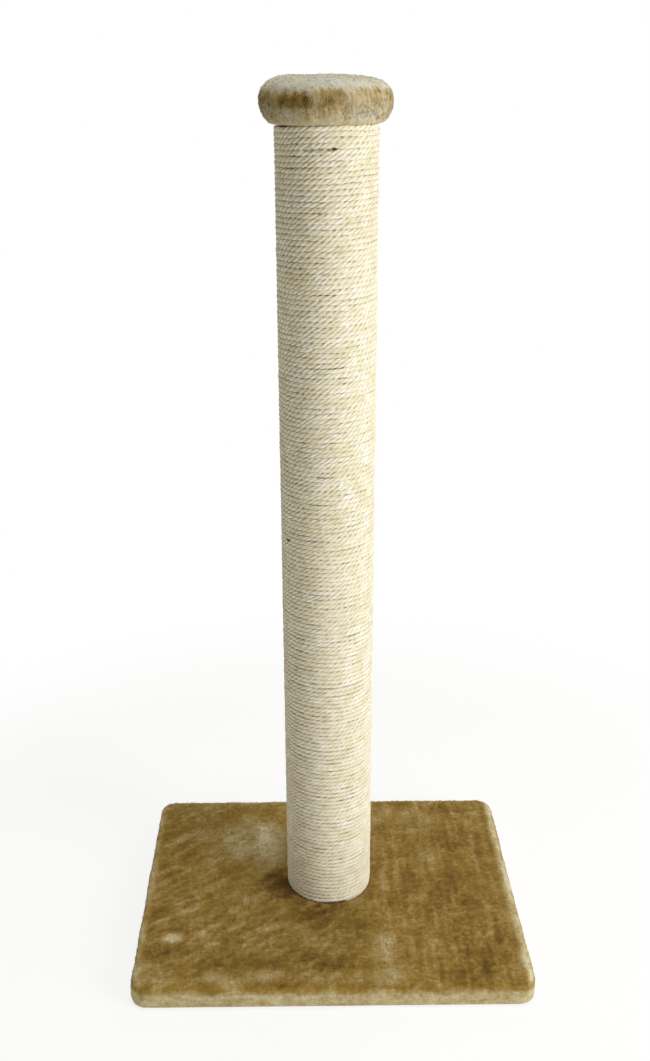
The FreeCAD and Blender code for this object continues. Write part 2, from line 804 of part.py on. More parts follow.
# Staples and nails first, because the pieces that hold them are cut to fit


board_staple = staple_shape("staple_leg")
rope_staple = staple_shape(ROPE_STAPLE_LEG)
base_staples = plain_feature("base_staples", copies(board_staple, base_staple_places()))
cap_staples = plain_feature("cap_staples", copies(board_staple, cap_staple_places()))
rope_staples = plain_feature("rope_staples", copies(rope_staple, rope_staple_places()))
bottom_tee_nut = make_tee_nut("bottom_tee_nut", f"{TUBE_FOOT} + plug_thickness", points_down=True)
top_tee_nut = make_tee_nut("top_tee_nut", f"{TUBE_HEAD} - plug_thickness", points_down=False)
document.recompute()
bottom_blank = make_plug("bottom_plug", TUBE_FOOT, nut_at_top=True)
top_blank = make_plug("top_plug", f"{TUBE_HEAD} - plug_thickness", nut_at_top=False)
tube_blank = make_post_tube()
document.recompute()

pieces = [
    base_staples,
    cap_staples,
    rope_staples,
    bottom_tee_nut,
    top_tee_nut,
    cut_out("bottom_plug", bottom_blank, bottom_tee_nut),
    cut_out("top_plug", top_blank, top_tee_nut),
    cut_out("post_tube", tube_blank, rope_staples),
    make_nails("bottom_plug_nails", f"{TUBE_FOOT} + plug_thickness / 2"),
    make_nails("top_plug_nails", f"{TUBE_HEAD} - plug_thickness / 2"),
    make_base_board(base_staples),
    make_base_plush(base_staples),
    make_hexagon_bolt(),
    make_washer(),
    *make_rope_turns(rope_staples),
    make_rope_sleeve(),
    make_cap_board(cap_staples),
    make_cap_bolt(),
    make_cap_padding(),
    make_cap_plush(cap_staples),
]
document.recompute()

for item in document.Objects:
    if "Invalid" in item.State or "Error" in item.State:
        raise ValueError(f"{item.Label} failed: {item.State}")
for piece in pieces:
    if piece.Shape.isNull() or not piece.Shape.isValid():
        raise ValueError(f"{piece.Label} has no sound shape")

os.makedirs("parts", exist_ok=True)
for piece in pieces:
    piece.Shape.exportStep(f"parts/{piece.Label}.step")
    print(f"{piece.Label}: {len(piece.Shape.Solids)} solid(s), {piece.Shape.Volume:.0f} mm3")
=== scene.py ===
import math

import bmesh
import bpy
import numpy as np
from mathutils import Matrix, Vector, noise
from mathutils.bvhtree import BVHTree


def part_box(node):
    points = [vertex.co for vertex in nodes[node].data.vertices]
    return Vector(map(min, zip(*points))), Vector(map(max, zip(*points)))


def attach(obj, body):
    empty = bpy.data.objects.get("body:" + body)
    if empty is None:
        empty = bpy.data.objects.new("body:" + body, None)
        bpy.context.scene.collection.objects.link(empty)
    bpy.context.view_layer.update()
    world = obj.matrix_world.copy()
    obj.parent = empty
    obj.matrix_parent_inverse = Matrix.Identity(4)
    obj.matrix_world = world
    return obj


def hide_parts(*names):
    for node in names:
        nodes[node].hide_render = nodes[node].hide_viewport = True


# A cat scratching post: a plush covered base, a post wound with sisal rope, a padded plush cap.
# Metres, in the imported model's frame: the origin under the middle of the base, +Z up.

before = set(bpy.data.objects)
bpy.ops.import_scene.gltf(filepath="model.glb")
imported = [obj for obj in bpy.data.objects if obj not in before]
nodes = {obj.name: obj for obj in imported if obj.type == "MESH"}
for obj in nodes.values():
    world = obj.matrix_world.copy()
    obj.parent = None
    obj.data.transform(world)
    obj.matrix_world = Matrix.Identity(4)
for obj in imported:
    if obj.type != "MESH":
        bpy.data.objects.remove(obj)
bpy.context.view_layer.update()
scene = bpy.context.scene
mm = 0.001
print("frame loaded:", len(nodes), "nodes")


# Small tools

def addPiece(name, bm, material, smooth=True):
    mesh = bpy.data.meshes.new(name)
    bm.to_mesh(mesh)
    bm.free()
    piece = bpy.data.objects.new(name, mesh)
    scene.collection.objects.link(piece)
    mesh.materials.append(material)
    mesh.polygons.foreach_set("use_smooth", [smooth] * len(mesh.polygons))
    return piece


def applyModifiers(piece):
    # gives the piece the mesh that its modifiers make
    depsgraph = bpy.context.evaluated_depsgraph_get()
    mesh = bpy.data.meshes.new_from_object(piece.evaluated_get(depsgraph), depsgraph=depsgraph)
    mesh.materials.clear()
    mesh.materials.append(piece.data.materials[0])
    piece.modifiers.clear()
    piece.data = mesh
    return mesh


def searchTree(mesh):
    return BVHTree.FromPolygons([v.co for v in mesh.vertices], [p.vertices[:] for p in mesh.polygons])


def readPoints(mesh, what="co"):
    # the places of a mesh's points, or their normals
    found = np.zeros(len(mesh.vertices) * 3)
    mesh.vertices.foreach_get(what, found)
    return found.reshape(-1, 3)


def writePoints(mesh, points):
    mesh.vertices.foreach_set("co", points.astype(np.float32).ravel())
    mesh.update()


def writeTone(mesh, name, values):
    # a number, or three, on each point, for the materials
    values = np.asarray(values, np.float32)
    if values.ndim == 1:
        mesh.attributes.new(name, "FLOAT", "POINT").data.foreach_set("value", values)
    else:
        mesh.attributes.new(name, "FLOAT_VECTOR", "POINT").data.foreach_set("vector", values.ravel())


def noiseAt(points, size, seed):
    # smooth noise from about -1 to 1 at points in metres, with lumps of a size in millimetres
    shift = Vector((seed * 17.3, seed * 5.9, seed * 11.1))
    scale = 1 / (size * mm)
    return np.array([noise.noise(Vector(p) * scale + shift) for p in points.tolist()]) * 1.6


def wander(lengths, size, seed):
    # a smooth random number from -1 to 1 along a length in metres, which changes over size mm
    knots = np.random.default_rng(seed).uniform(-1, 1, int(lengths.max() / (size * mm)) + 4)
    at = lengths / (size * mm) + 1
    low = np.floor(at).astype(int)
    share = at - low
    share = share * share * (3 - 2 * share)
    return knots[low] * (1 - share) + knots[low + 1] * share


def smoothStep(values, low, high):
    share = np.clip((values - low) / (high - low), 0, 1)
    return share * share * (3 - 2 * share)


def unit(vectors):
    return vectors / np.maximum(np.linalg.norm(vectors, axis=1), 1e-9)[:, None]


def finishPiece(piece, slot, *replaced):
    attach(piece, "root")
    if replaced:
        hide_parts(*replaced)
    return piece


# Materials

def toLinear(hexColour):
    # an sRGB hex colour as the linear numbers that a shader takes
    parts = [int(hexColour[i:i + 2], 16) / 255 for i in (1, 3, 5)]
    return [p / 12.92 if p <= 0.04045 else ((p + 0.055) / 1.055) ** 2.4 for p in parts] + [1]


def addNode(tree, kind, settings=None, links=None, out=0, stops=None):
    # adds a node: its settings, what its inputs take (a socket, a number or a hex colour), a ramp's
    # stops of place and colour or grey; gives back one of its outputs
    node = tree.nodes.new("ShaderNode" + kind)
    for key, value in (settings or {}).items():
        setattr(node, key, value)
    for key, value in (links or {}).items():
        if isinstance(value, bpy.types.NodeSocket):
            tree.links.new(value, node.inputs[key])
        else:
            node.inputs[key].default_value = toLinear(value) if isinstance(value, str) else value
    for number, (place, colour) in enumerate(stops or ()):
        elements = node.color_ramp.elements
        element = elements[number] if number < len(elements) else elements.new(place)
        element.position = place
        element.color = toLinear(colour) if isinstance(colour, str) else [colour] * 3 + [1]
    return node.outputs[out] if node.outputs else None


def newMaterial(name, shaderInputs):
    material = bpy.data.materials.new(name)
    material.use_nodes = True
    shader = material.node_tree.nodes["Principled BSDF"]
    for key, value in shaderInputs.items():
        shader.inputs[key].default_value = toLinear(value) if isinstance(value, str) else value
    place = addNode(material.node_tree, "TexCoord", out="Object")
    return material, material.node_tree, shader, place


def finishShader(tree, shader, colour, height, depth, strength):
    # the colour, and a relief as deep as depth
    tree.links.new(colour, shader.inputs["Base Color"])
    bump = addNode(tree, "Bump", None, {"Height": height, "Distance": depth, "Strength": strength})
    tree.links.new(bump, shader.inputs["Normal"])


def makeMottled(name, shaderInputs, colours, size, detail, depth, strength, stretch=(1, 1, 1)):
    # soft cloudiness between two colours, with lumps of a size in metres
    material, tree, shader, place = newMaterial(name, shaderInputs)
    laid = addNode(tree, "Mapping", None, {"Vector": place, "Scale": stretch})
    cloud = addNode(tree, "TexNoise", None, {"Vector": laid, "Scale": 1 / size, "Detail": detail})
    colour = addNode(tree, "ValToRGB", None, {"Fac": cloud}, stops=((0.3, colours[0]), (0.7, colours[1])))
    finishShader(tree, shader, colour, cloud, depth, strength)
    return material


def makeSisal():
    # unbleached sisal, three twisted strands: dull cream fibre with fine fibres along each strand,
    # khaki painted shade between strands and olive brown painted shade down in the gaps between turns
    material, tree, shader, place = newMaterial("sisalRopeNatural", {
        "Roughness": 0.8, "Specular IOR Level": 0.02})
    along = addNode(tree, "Attribute", {"attribute_name": "fibrePlace"}, out="Vector")
    patches = addNode(tree, "TexNoise", None, {"Vector": place, "Scale": 1 / (11 * mm), "Detail": 3.0})
    crown = addNode(tree, "ValToRGB", None, {"Fac": patches},
                    stops=((0.32, "#e6dfc6"), (0.52, "#f1ecda"), (0.70, "#faf8f1")))
    strands = addNode(tree, "TexNoise", None, {"Vector": along, "Scale": 1.0, "Detail": 2.0})
    fibre = addNode(tree, "ValToRGB", None, {"Fac": strands}, stops=((0.38, 0.55), (0.56, 0.0)))
    groove, gapShade, stain = [addNode(tree, "Attribute", {"attribute_name": tone}, out="Fac")
                          for tone in ("groove", "gapShade", "stain")]
    # the groove and gap tones paint shade: khaki down between strands, olive brown down in the gaps between
    # turns
    grooveShade = addNode(tree, "ValToRGB", None, {"Fac": groove}, stops=((0.15, 0.0), (0.95, 0.8)))
    for share, colour in ((fibre, "#cbc097"), (grooveShade, "#b5aa7e"), (gapShade, "#6f6340"), (stain, "#5c3c1a")):
        crown = addNode(tree, "Mix", {"data_type": "RGBA"}, {0: share, 6: crown, 7: colour}, out=2)
    finishShader(tree, shader, crown, strands, 0.12 * mm, 0.6)
    return material


def makePlush(name, nap, rows):
    # short acrylic plush with painted shade and sheen: brown shade down in the pile, golden on its side, pale
    # sheen where it is brushed up.
    # The "nap" tone says how far it is brushed, which paints that sheen and shade, and finer noise breaks
    # that up into single tufts.
    material, tree, shader, place = newMaterial(name, {
        "Roughness": 0.9, "Specular IOR Level": 0.15, "Sheen Weight": 0.25,
        "Sheen Roughness": 0.45, "Sheen Tint": "#e9dfc0"})
    tone = addNode(tree, "Attribute", {"attribute_name": "nap"}, out="Fac")
    tufts = addNode(tree, "TexNoise", None, {"Vector": place, "Scale": 1 / (3.4 * mm), "Detail": 3.0})
    threads = addNode(tree, "TexNoise", None, {"Vector": place, "Scale": 1 / (1.0 * mm), "Detail": 1.0})
    # each noise lies about a half, so the shares of all four are halved and taken off
    tuftShare, threadShare = 0.26, 0.28
    middle = -tuftShare / 2 - rows - threadShare / 2
    shares = [(tufts, tuftShare), (threads, threadShare)]
    # the backing's weave shows as faint rows both ways, about a millimetre and a half apart
    for stretch in ((1, 0.1, 1), (0.1, 1, 1)):
        laid = addNode(tree, "Mapping", None, {"Vector": place, "Scale": stretch})
        row = addNode(tree, "TexNoise", None, {"Vector": laid, "Scale": 1 / (1.5 * mm), "Detail": 1.0})
        shares.append((row, rows))
    for cloud, share in shares:
        middle = addNode(tree, "Math", {"operation": "MULTIPLY_ADD"}, {0: cloud, 1: share, 2: middle})
    brushedSheen = addNode(tree, "Math", {"operation": "ADD", "use_clamp": True}, {0: tone, 1: middle})
    colour = addNode(tree, "ValToRGB", None, {"Fac": brushedSheen}, stops=nap)
    finishShader(tree, shader, colour, threads, 0.5 * mm, 0.7)
    return material


def makeParticleBoard():
    # pressed wood chips, raw: flat tan flakes in several browns
    material, tree, shader, place = newMaterial("particleBoardRaw", {
        "Roughness": 0.8, "Specular IOR Level": 0.3})
    flat = addNode(tree, "Mapping", None, {"Vector": place, "Scale": (1, 0.6, 2.5)})
    chips = addNode(tree, "TexVoronoi", None, {"Vector": flat, "Scale": 1 / (3.5 * mm)}, out="Color")
    shade = addNode(tree, "SeparateColor", None, {"Color": chips})
    flakes = addNode(tree, "ValToRGB", None, {"Fac": shade},
                     stops=((0.0, "#8d6a42"), (0.35, "#b48f5f"), (0.7, "#c9a676"), (1.0, "#dabd90")))
    dust = addNode(tree, "TexNoise", None, {"Vector": place, "Scale": 1 / (0.9 * mm), "Detail": 3.0})
    dusty = addNode(tree, "ValToRGB", None, {"Fac": dust}, stops=((0.35, "#c4a172"), (0.65, "#e2c79c")))
    colour = addNode(tree, "Mix", {"data_type": "RGBA"}, {0: 0.4, 6: flakes, 7: dusty}, out=2)
    finishShader(tree, shader, colour, shade, 0.15 * mm, 0.5)
    return material


def makePine():
    # sawn pine: pale wood with darker growth lines about 4 mm apart
    material, tree, shader, place = newMaterial("sawnPine", {"Roughness": 0.7, "Specular IOR Level": 0.3})
    long = addNode(tree, "Mapping", None, {"Vector": place, "Scale": (1, 0.12, 0.3)})
    grain = addNode(tree, "TexWave", {"wave_type": "BANDS", "bands_direction": "X"},
                    {"Vector": long, "Scale": 0.3 / (4 * mm), "Distortion": 3.0, "Detail": 2.0}, out="Fac")
    colour = addNode(tree, "ValToRGB", None, {"Fac": grain}, stops=((0.1, "#d3b07c"), (0.8, "#e6cc9e")))
    finishShader(tree, shader, colour, grain, 0.1 * mm, 0.3)
    return material


sisal = makeSisal()
# the plush ramps run from painted shade down in the pile, through golden, to painted sheen where the pile is
# brushed up
basePile = makePlush("basePlushGolden", ((0.0, "#533a0d"), (0.28, "#73571d"), (0.5, "#8b6f30"),
                                         (0.72, "#a38f61"), (1.0, "#cbc29d")), 0.20)
capPile = makePlush("capPlushGolden", ((0.0, "#664c17"), (0.28, "#8d733e"), (0.5, "#a69368"),
                                       (0.74, "#b8ac8b"), (1.0, "#bfbfb5")), 0.0)
particleBoard = makeParticleBoard()
pine = makePine()
# steel with thin bright zinc: cool grey, a little cloudy
zinc = makeMottled("zincPlatedSteel", {"Roughness": 0.34, "Metallic": 1.0}, ("#9da1a3", "#c6c8c7"),
                   3 * mm, 4.0, 0.05 * mm, 0.4)
# kraft card wound into a tube: dull brown paper with faint mottling
card = makeMottled("kraftCardTube", {"Roughness": 0.85, "Specular IOR Level": 0.25}, ("#9a7b55", "#b99a70"),
                   2 * mm, 4.0, 0.1 * mm, 0.4, stretch=(1, 1, 0.4))
# polyester wadding: matt white, loose and cloudy
wadding = makeMottled("polyesterWadding", {"Roughness": 1.0, "Specular IOR Level": 0.1, "Sheen Weight": 0.3},
                      ("#d9d8d2", "#f2f1ec"), 6 * mm, 5.0, 1.0 * mm, 0.7)

nodeFinishes = (
    (particleBoard, ("base_board", "cap_board")),
    (card, ("post_tube",)),
    (pine, ("bottom_plug", "top_plug")),
    (zinc, ("base_staples", "cap_staples", "rope_staples", "post_bolt", "bolt_washer", "cap_bolt",
            "bottom_tee_nut", "top_tee_nut", "bottom_plug_nails", "top_plug_nails")),
)
for finish, names in nodeFinishes:
    for name in names:
        nodes[name].data.materials.clear()
        nodes[name].data.materials.append(finish)
print("materials made")


# The camera, from the photograph's base, post and cap edges

camera = {
    "place": (-24.9 * mm, -1020.7 * mm, 853.1 * mm),
    "pitchDown": math.radians(21.90),
    "yaw": math.radians(-0.16),
    "roll": math.radians(0.73),
    "focalPixels": 1141.1,       # in the photograph's own pixels
    "imageWidth": 650,
    "imageHeight": 1061,
    "axisPixel": 299.3,          # where the lens axis meets the picture, across
}


def placeCamera(camera):
    data = bpy.data.cameras.new("camera")
    seen = bpy.data.objects.new("camera", data)
    scene.collection.objects.link(seen)
    pitch, yaw, roll = camera["pitchDown"], camera["yaw"], camera["roll"]
    forward = Vector((math.sin(yaw) * math.cos(pitch), math.cos(yaw) * math.cos(pitch), -math.sin(pitch)))
    right = Vector((math.cos(yaw), -math.sin(yaw), 0))
    down = forward.cross(right)
    across = math.cos(roll) * right + math.sin(roll) * down
    up = math.sin(roll) * right - math.cos(roll) * down
    turn = Matrix((across, up, -forward)).transposed().to_4x4()
    seen.matrix_world = Matrix.Translation(camera["place"]) @ turn
    longSide = camera["imageHeight"]
    data.lens = camera["focalPixels"] / longSide * data.sensor_width
    data.shift_x = (camera["imageWidth"] / 2 - camera["axisPixel"]) / longSide
    data.clip_end = 50
    scene.camera = seen


placeCamera(camera)


# The rope: one unbroken length, wound from the base to the cap

footLow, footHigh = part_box("sisal_rope_foot")
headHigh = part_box("sisal_rope_head")[1]
tubeLow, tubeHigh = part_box("post_tube")
postAxis = Vector(((tubeLow.x + tubeHigh.x) / 2, (tubeLow.y + tubeHigh.y) / 2, 0))


def roundPost(points):
    # how far points are from the post's middle, and in which direction in radians
    x, y = points[:, 0] - postAxis.x, points[:, 1] - postAxis.y
    return np.hypot(x, y), np.arctan2(y, x)


def sideways(out):
    # level and square to the ways out from the post
    return np.stack([-out[:, 1], out[:, 0], np.zeros(len(out))], axis=1)


rope = {
    "diameter": 4.15 * mm,
    "turns": 171.5,
    "startAngle": math.radians(-68),
    # the turns where one piece ends and the next begins
    "cuts": (0, 11.5, 41.5, 71.5, 101.5, 130.5, 159.5, 171.5),
    "stepsPerTurn": 240,
    "sides": 12,
    "layLength": 17 * mm,        # a strand's way once round the rope
    "strandGroove": 0.49,        # how deep the outline dips between strands, 0 to 1
    "footGroove": 0.40,          # and lower down
    "creaseDepth": 0.42,
    "creaseWidth": 0.2,          # in radians
    "pressedHeight": 1.42,       # turns pressed together are this much taller than the bare rope
    "footHeight": 1.20,          # lower down they are pressed less
    "openedHeight": 1.08,        # and this much where a gap shows between them
    "pressedPower": 2.5,         # and squarer: 2 is round
    "rowWave": 0.5 * mm,         # how far whole rows wander up and down
    "ownWave": 0.28 * mm,        # and each turn by itself
    "looseness": 0.2 * mm,       # and how far it stands off the tube
    "girthChange": (0.055, 0.035),
    "twistChange": (0.9, 0.4),   # in radians
    "fastened": 150 * mm,        # how much of each end lies evenly
    "tucked": 1.2 * mm,          # how far the cut end goes in
    "footLevels": (0.2, 0.6),    # up to the first it is as at the foot, past the second as pressed
    "mostOpened": 0.7,
    "sideFlat": 0.33,            # how much more of the turned shape faces outwards
    # long gaps, opened and painted with shade: azimuth from and to in degrees, height
    "longGaps": ((-153, -128, 776 * mm), (-115, -94, 748 * mm), (-112, -80, 671 * mm),
                 (-116, -72, 607 * mm), (-140, -118, 560 * mm), (-105, -84, 505 * mm)),
    # marks: azimuth in degrees, height, half width and half height, strength
    "marks": ((-83.6, 793.6 * mm, 2.6 * mm, 1.5 * mm, 1.0), (-87, 792.4 * mm, 3 * mm, 1.0 * mm, 0.8),
              (-99, 792 * mm, 5 * mm, 2.5 * mm, 0.3), (-110, 793 * mm, 6 * mm, 3 * mm, 0.22),
              (-149, 437 * mm, 3 * mm, 1.6 * mm, 0.9),
              (-68, 22.5 * mm, 2.4 * mm, 1.2 * mm, 0.75), (-99, 605 * mm, 7 * mm, 3 * mm, 0.16)),
}


def strandOutline(rope, angle, groove):
    # a three strand rope's outline as a share of its radius: 1 on a strand and less between two
    third = math.tau / 3
    off = (angle + third / 2) % third - third / 2
    strand = 1 - 0.5 * groove * (off / (third / 2)) ** 2
    crease = np.exp(-((np.abs(off) - third / 2) / rope["creaseWidth"]) ** 2)
    return strand - rope["creaseDepth"] * groove * crease


def ropeMarks(rope, points):
    # how far each point is stained, from the named marks
    reach, azimuth = roundPost(points)
    stained = np.zeros(len(points))
    for at, height, wide, tall, strength in rope["marks"]:
        off = (np.degrees(azimuth) - at + 180) % 360 - 180
        away = np.hypot(np.radians(off) * reach / wide, (points[:, 2] - height) / tall)
        stained = np.maximum(stained, strength * (1 - smoothStep(away, 0.5, 1.2)))
    return stained


def windRope(rope):
    radius = (footHigh.x - footLow.x) / 2 - rope["diameter"] / 2
    startLevel = footLow.z + rope["diameter"] / 2
    endLevel = headHigh.z - rope["diameter"] / 2
    pitch = (endLevel - startLevel) / rope["turns"]
    half = rope["stepsPerTurn"] // 2
    stepLength = math.tau * radius / rope["stepsPerTurn"]
    count = round(rope["turns"] * rope["stepsPerTurn"]) + 1
    lengths = np.arange(count) * stepLength
    angles = rope["startAngle"] + np.arange(count) / rope["stepsPerTurn"] * math.tau
    middles = np.stack([postAxis.x + radius * np.cos(angles), postAxis.y + radius * np.sin(angles),
                        startLevel + pitch * np.arange(count) / rope["stepsPerTurn"]], axis=1)
    # the numbers after lengths are a wave's length in millimetres and a seed
    rows = noiseAt(middles * (1, 1, 1.6), 42, 1) + 0.5 * noiseAt(middles * (1, 1, 1.3), 17, 2)
    ends = smoothStep(lengths, 0, rope["fastened"]) * smoothStep(lengths[-1] - lengths, 0, rope["fastened"])
    lift = ends * (rope["rowWave"] * rows + rope["ownWave"] * wander(lengths, 11, 3))
    stand = rope["looseness"] * wander(lengths, 19, 4) * ends
    slow, quick = rope["girthChange"]
    girth = 1 + slow * wander(lengths, 14, 5) + quick * wander(lengths, 4, 6)
    slow, quick = rope["twistChange"]
    twist = math.tau * lengths / rope["layLength"] + slow * wander(lengths, 45, 7)
    twist = twist + quick * wander(lengths, 12, 8)
    # gaps open here and there between turns, fewer of them to the right and behind; the gap tone paints shade
    # where they open
    degrees = (np.degrees(angles) + 180) % 360 - 180
    opened = smoothStep(wander(lengths, 5, 9) + 0.3 * wander(lengths, 60, 10), 0.30, 0.85)
    opened *= rope["mostOpened"] * (1 - 0.4 * smoothStep(degrees, -78, -48))
    lower = 1 - smoothStep(middles[:, 2], *rope["footLevels"])
    pressed = rope["pressedHeight"] + (rope["footHeight"] - rope["pressedHeight"]) * lower
    grooves = rope["strandGroove"] + (rope["footGroove"] - rope["strandGroove"]) * lower
    for start, end, height in rope["longGaps"]:
        inside = (degrees > start) & (degrees < end) & (np.abs(middles[:, 2] - height) < pitch / 2)
        opened = np.maximum(opened, inside * 1.0)
    cutShare = smoothStep(lengths, -4 * mm, 6 * mm)     # the cut end is tucked in
    made = []
    for number, (first, last) in enumerate(zip(rope["cuts"], rope["cuts"][1:])):
        startAngle = rope["startAngle"] + first * math.tau
        turned = Matrix.Rotation(startAngle, 4, "Z") @ Matrix.Translation((radius, 0, 0))
        bm = bmesh.new()
        bmesh.ops.create_circle(bm, segments=rope["sides"], radius=rope["diameter"] / 2,
                                matrix=turned @ Matrix.Rotation(math.pi / 2, 4, "X"))
        coil = addPiece(f"sisal_winding_{number + 1}", bm, sisal)
        screw = coil.modifiers.new("turns", "SCREW")
        screw.angle = math.pi
        screw.screw_offset = pitch / 2
        screw.steps = screw.render_steps = half
        screw.iterations = round((last - first) * 2)
        screw.use_merge_vertices = False
        mesh = applyModifiers(coil)
        points = readPoints(mesh)
        # where each point lies along the rope and round it
        azimuth = np.arctan2(points[:, 1], points[:, 0])
        turn = (azimuth - startAngle) / math.tau
        turn += np.round(points[:, 2] / pitch - turn)
        ring = np.clip(np.round((turn + first) * rope["stepsPerTurn"]).astype(int), 0, count - 1)
        out = np.hypot(points[:, 0], points[:, 1]) - radius
        up = points[:, 2] - pitch * turn
        around = np.arctan2(up, out)
        around = around - rope["sideFlat"] * np.sin(around)
        strandAngle = around - twist[ring]
        outline = strandOutline(rope, strandAngle, grooves[ring])
        power = rope["pressedPower"]
        square = (np.abs(np.cos(around)) ** power + np.abs(np.sin(around)) ** power) ** (-1 / power)
        reach = rope["diameter"] / 2 * square * outline * girth[ring] * (0.72 + 0.28 * cutShare[ring])
        outward = radius + reach * np.cos(around) + stand[ring] - rope["tucked"] * (1 - cutShare[ring])
        # the upper side of a turn makes room where a gap opens over it
        above = np.sin(around) > 0
        tall = pressed[ring] - (pressed[ring] - rope["openedHeight"]) * opened[ring] * above
        points[:, 0] = postAxis.x + outward * np.cos(azimuth)
        points[:, 1] = postAxis.y + outward * np.sin(azimuth)
        points[:, 2] = startLevel + pitch * (turn + first) + reach * tall * np.sin(around) + lift[ring]
        writePoints(mesh, points)
        closed = bmesh.new()
        closed.from_mesh(mesh)
        rims = [edge for edge in closed.edges if edge.is_boundary]
        for face in bmesh.ops.holes_fill(closed, edges=rims, sides=0)["faces"]:
            face.smooth = False
            for edge in face.edges:
                edge.smooth = False
        bmesh.ops.recalc_face_normals(closed, faces=closed.faces)
        closed.to_mesh(mesh)
        closed.free()
        # the flanks where turns meet are painted with shade: a little everywhere, more near the foot, most
        # over an opened gap; the groove tone paints shade down between strands
        flank = smoothStep(np.abs(np.sin(around)), 0.72, 1.0)
        dark = 0.04 + 0.14 * lower[ring] + 0.8 * opened[ring] * above
        writeTone(mesh, "gapShade", np.clip(flank * dark, 0, 1))
        writeTone(mesh, "groove", np.clip((1 - outline) / rope["creaseDepth"], 0, 1))
        writeTone(mesh, "stain", ropeMarks(rope, points))
        # fibres run along the strands, a quarter of a millimetre thick and some millimetres long
        writeTone(mesh, "fibrePlace", np.stack([lengths[ring] / (5 * mm), np.cos(strandAngle) * 4.5,
                                                np.sin(strandAngle) * 4.5], axis=1))
        made.append(coil)
    return made


windings = windRope(rope)
finishPiece(windings[0], "sisal", "sisal_rope_foot")
finishPiece(windings[-1], "sisal", "sisal_rope_head")
for winding in windings[1:-1]:
    finishPiece(winding, "sisal", "sisal_rope_middle")
print("rope wound:", sum(len(w.data.polygons) for w in windings), "faces")


# Tufts and stray fibres: one small hair, repeated and stood at each root

def growHairs(name, roots, starts, leans, hair, material, tones, sizes=1):
    # starts and leans are the directions at the root and at the tip, and sizes make some hairs shorter
    count = len(roots)
    random = np.random.default_rng(hair["seed"])
    bm = bmesh.new()
    bmesh.ops.create_cone(bm, cap_ends=True, segments=3, radius1=0.5, radius2=0.5 * hair["tipShare"], depth=1,
                          matrix=Matrix.Translation((0, 0, 0.5)))
    bmesh.ops.bisect_plane(bm, geom=bm.verts[:] + bm.edges[:] + bm.faces[:], plane_co=(0, 0, 0.5),
                           plane_no=(0, 0, 1))
    piece = addPiece(name, bm, material)
    repeat = piece.modifiers.new("many", "ARRAY")
    repeat.count = count
    repeat.use_relative_offset = False
    mesh = applyModifiers(piece)
    local = readPoints(mesh).reshape(count, -1, 3)
    length = hair["length"] * (random.uniform(0.65, 1.3, count) * sizes)[:, None, None]
    width = hair["width"] * random.uniform(0.7, 1.3, count)[:, None, None]
    starts, leans = unit(starts), unit(leans)
    share = local[:, :, 2:3]
    bent = starts[:, None] * (share - share ** 2 / 2) + leans[:, None] * share ** 2 / 2
    bent = roots[:, None] + length * bent
    side = unit(np.cross(starts + leans, random.normal(size=(count, 3))))
    flat = unit(np.cross(starts + leans, side))
    across = local[:, :, 0:1] * side[:, None] + hair["flatness"] * local[:, :, 1:2] * flat[:, None]
    writePoints(mesh, (bent + width * across).reshape(-1, 3))
    for tone, values in tones.items():
        writeTone(mesh, tone, np.repeat(values, local.shape[1]))
    return piece


fibres = {"count": 380, "length": 5 * mm, "width": 0.22 * mm, "tipShare": 0.3, "flatness": 0.6, "seed": 31,
          "heights": (30 * mm, 805 * mm), "rootRadius": 44.6 * mm, "longRadius": 45.3 * mm}
# long ones that show: azimuth and height at the root and at the tip
longFibres = (((-130, 659 * mm), (-133, 671 * mm)), ((-107.5, 308 * mm), (-125, 331 * mm)),
              ((-98, 523 * mm), (-104, 517 * mm)), ((-70, 231 * mm), (-78, 238 * mm)))


def onRope(azimuth, height, radius):
    # places on the rope, and the way out from the post there
    out = np.stack([np.cos(azimuth), np.sin(azimuth), np.zeros(len(azimuth))], axis=1)
    return out * radius + (postAxis.x, postAxis.y, 0) + (0, 0, 1) * height[:, None], out


def strayFibres(fibres):
    random = np.random.default_rng(fibres["seed"])
    count = fibres["count"]
    azimuth = random.uniform(0, math.tau, count)
    height = random.uniform(*fibres["heights"], count)
    roots, out = onRope(azimuth, height, fibres["rootRadius"])
    side = random.choice([-1.0, 1.0], count)[:, None] * sideways(out)
    starts = 0.5 * out + side * 0.8 + (0, 0, 1) * random.normal(0, 0.35, count)[:, None]
    leans = 0.12 * out + side * random.uniform(0.5, 1, count)[:, None] \
        + (0, 0, 1) * random.normal(0, 0.8, count)[:, None]
    sizes = np.ones(count)
    for number, ends in enumerate(longFibres):
        turned, levels = np.array(ends).T
        (root, tip), outs = onRope(np.radians(turned), levels, fibres["longRadius"])
        long = np.linalg.norm(tip - root)
        sizes[number] = long / fibres["length"]
        roots[number] = root
        starts[number] = (tip - root) / long + 0.35 * outs[0]
        leans[number] = (tip - root) / long - 0.05 * outs[1]
    zero = np.zeros(count)
    return growHairs("sisal_stray_fibres", roots, starts, leans, fibres, sisal,
                     {"gapShade": zero, "groove": zero, "stain": zero}, sizes)


finishPiece(strayFibres(fibres), "sisal")
print("stray fibres added")


# The base's plush: one sheet over the board, round its edges and stapled under it

plushLow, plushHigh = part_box("base_plush")
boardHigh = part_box("base_board")[1]

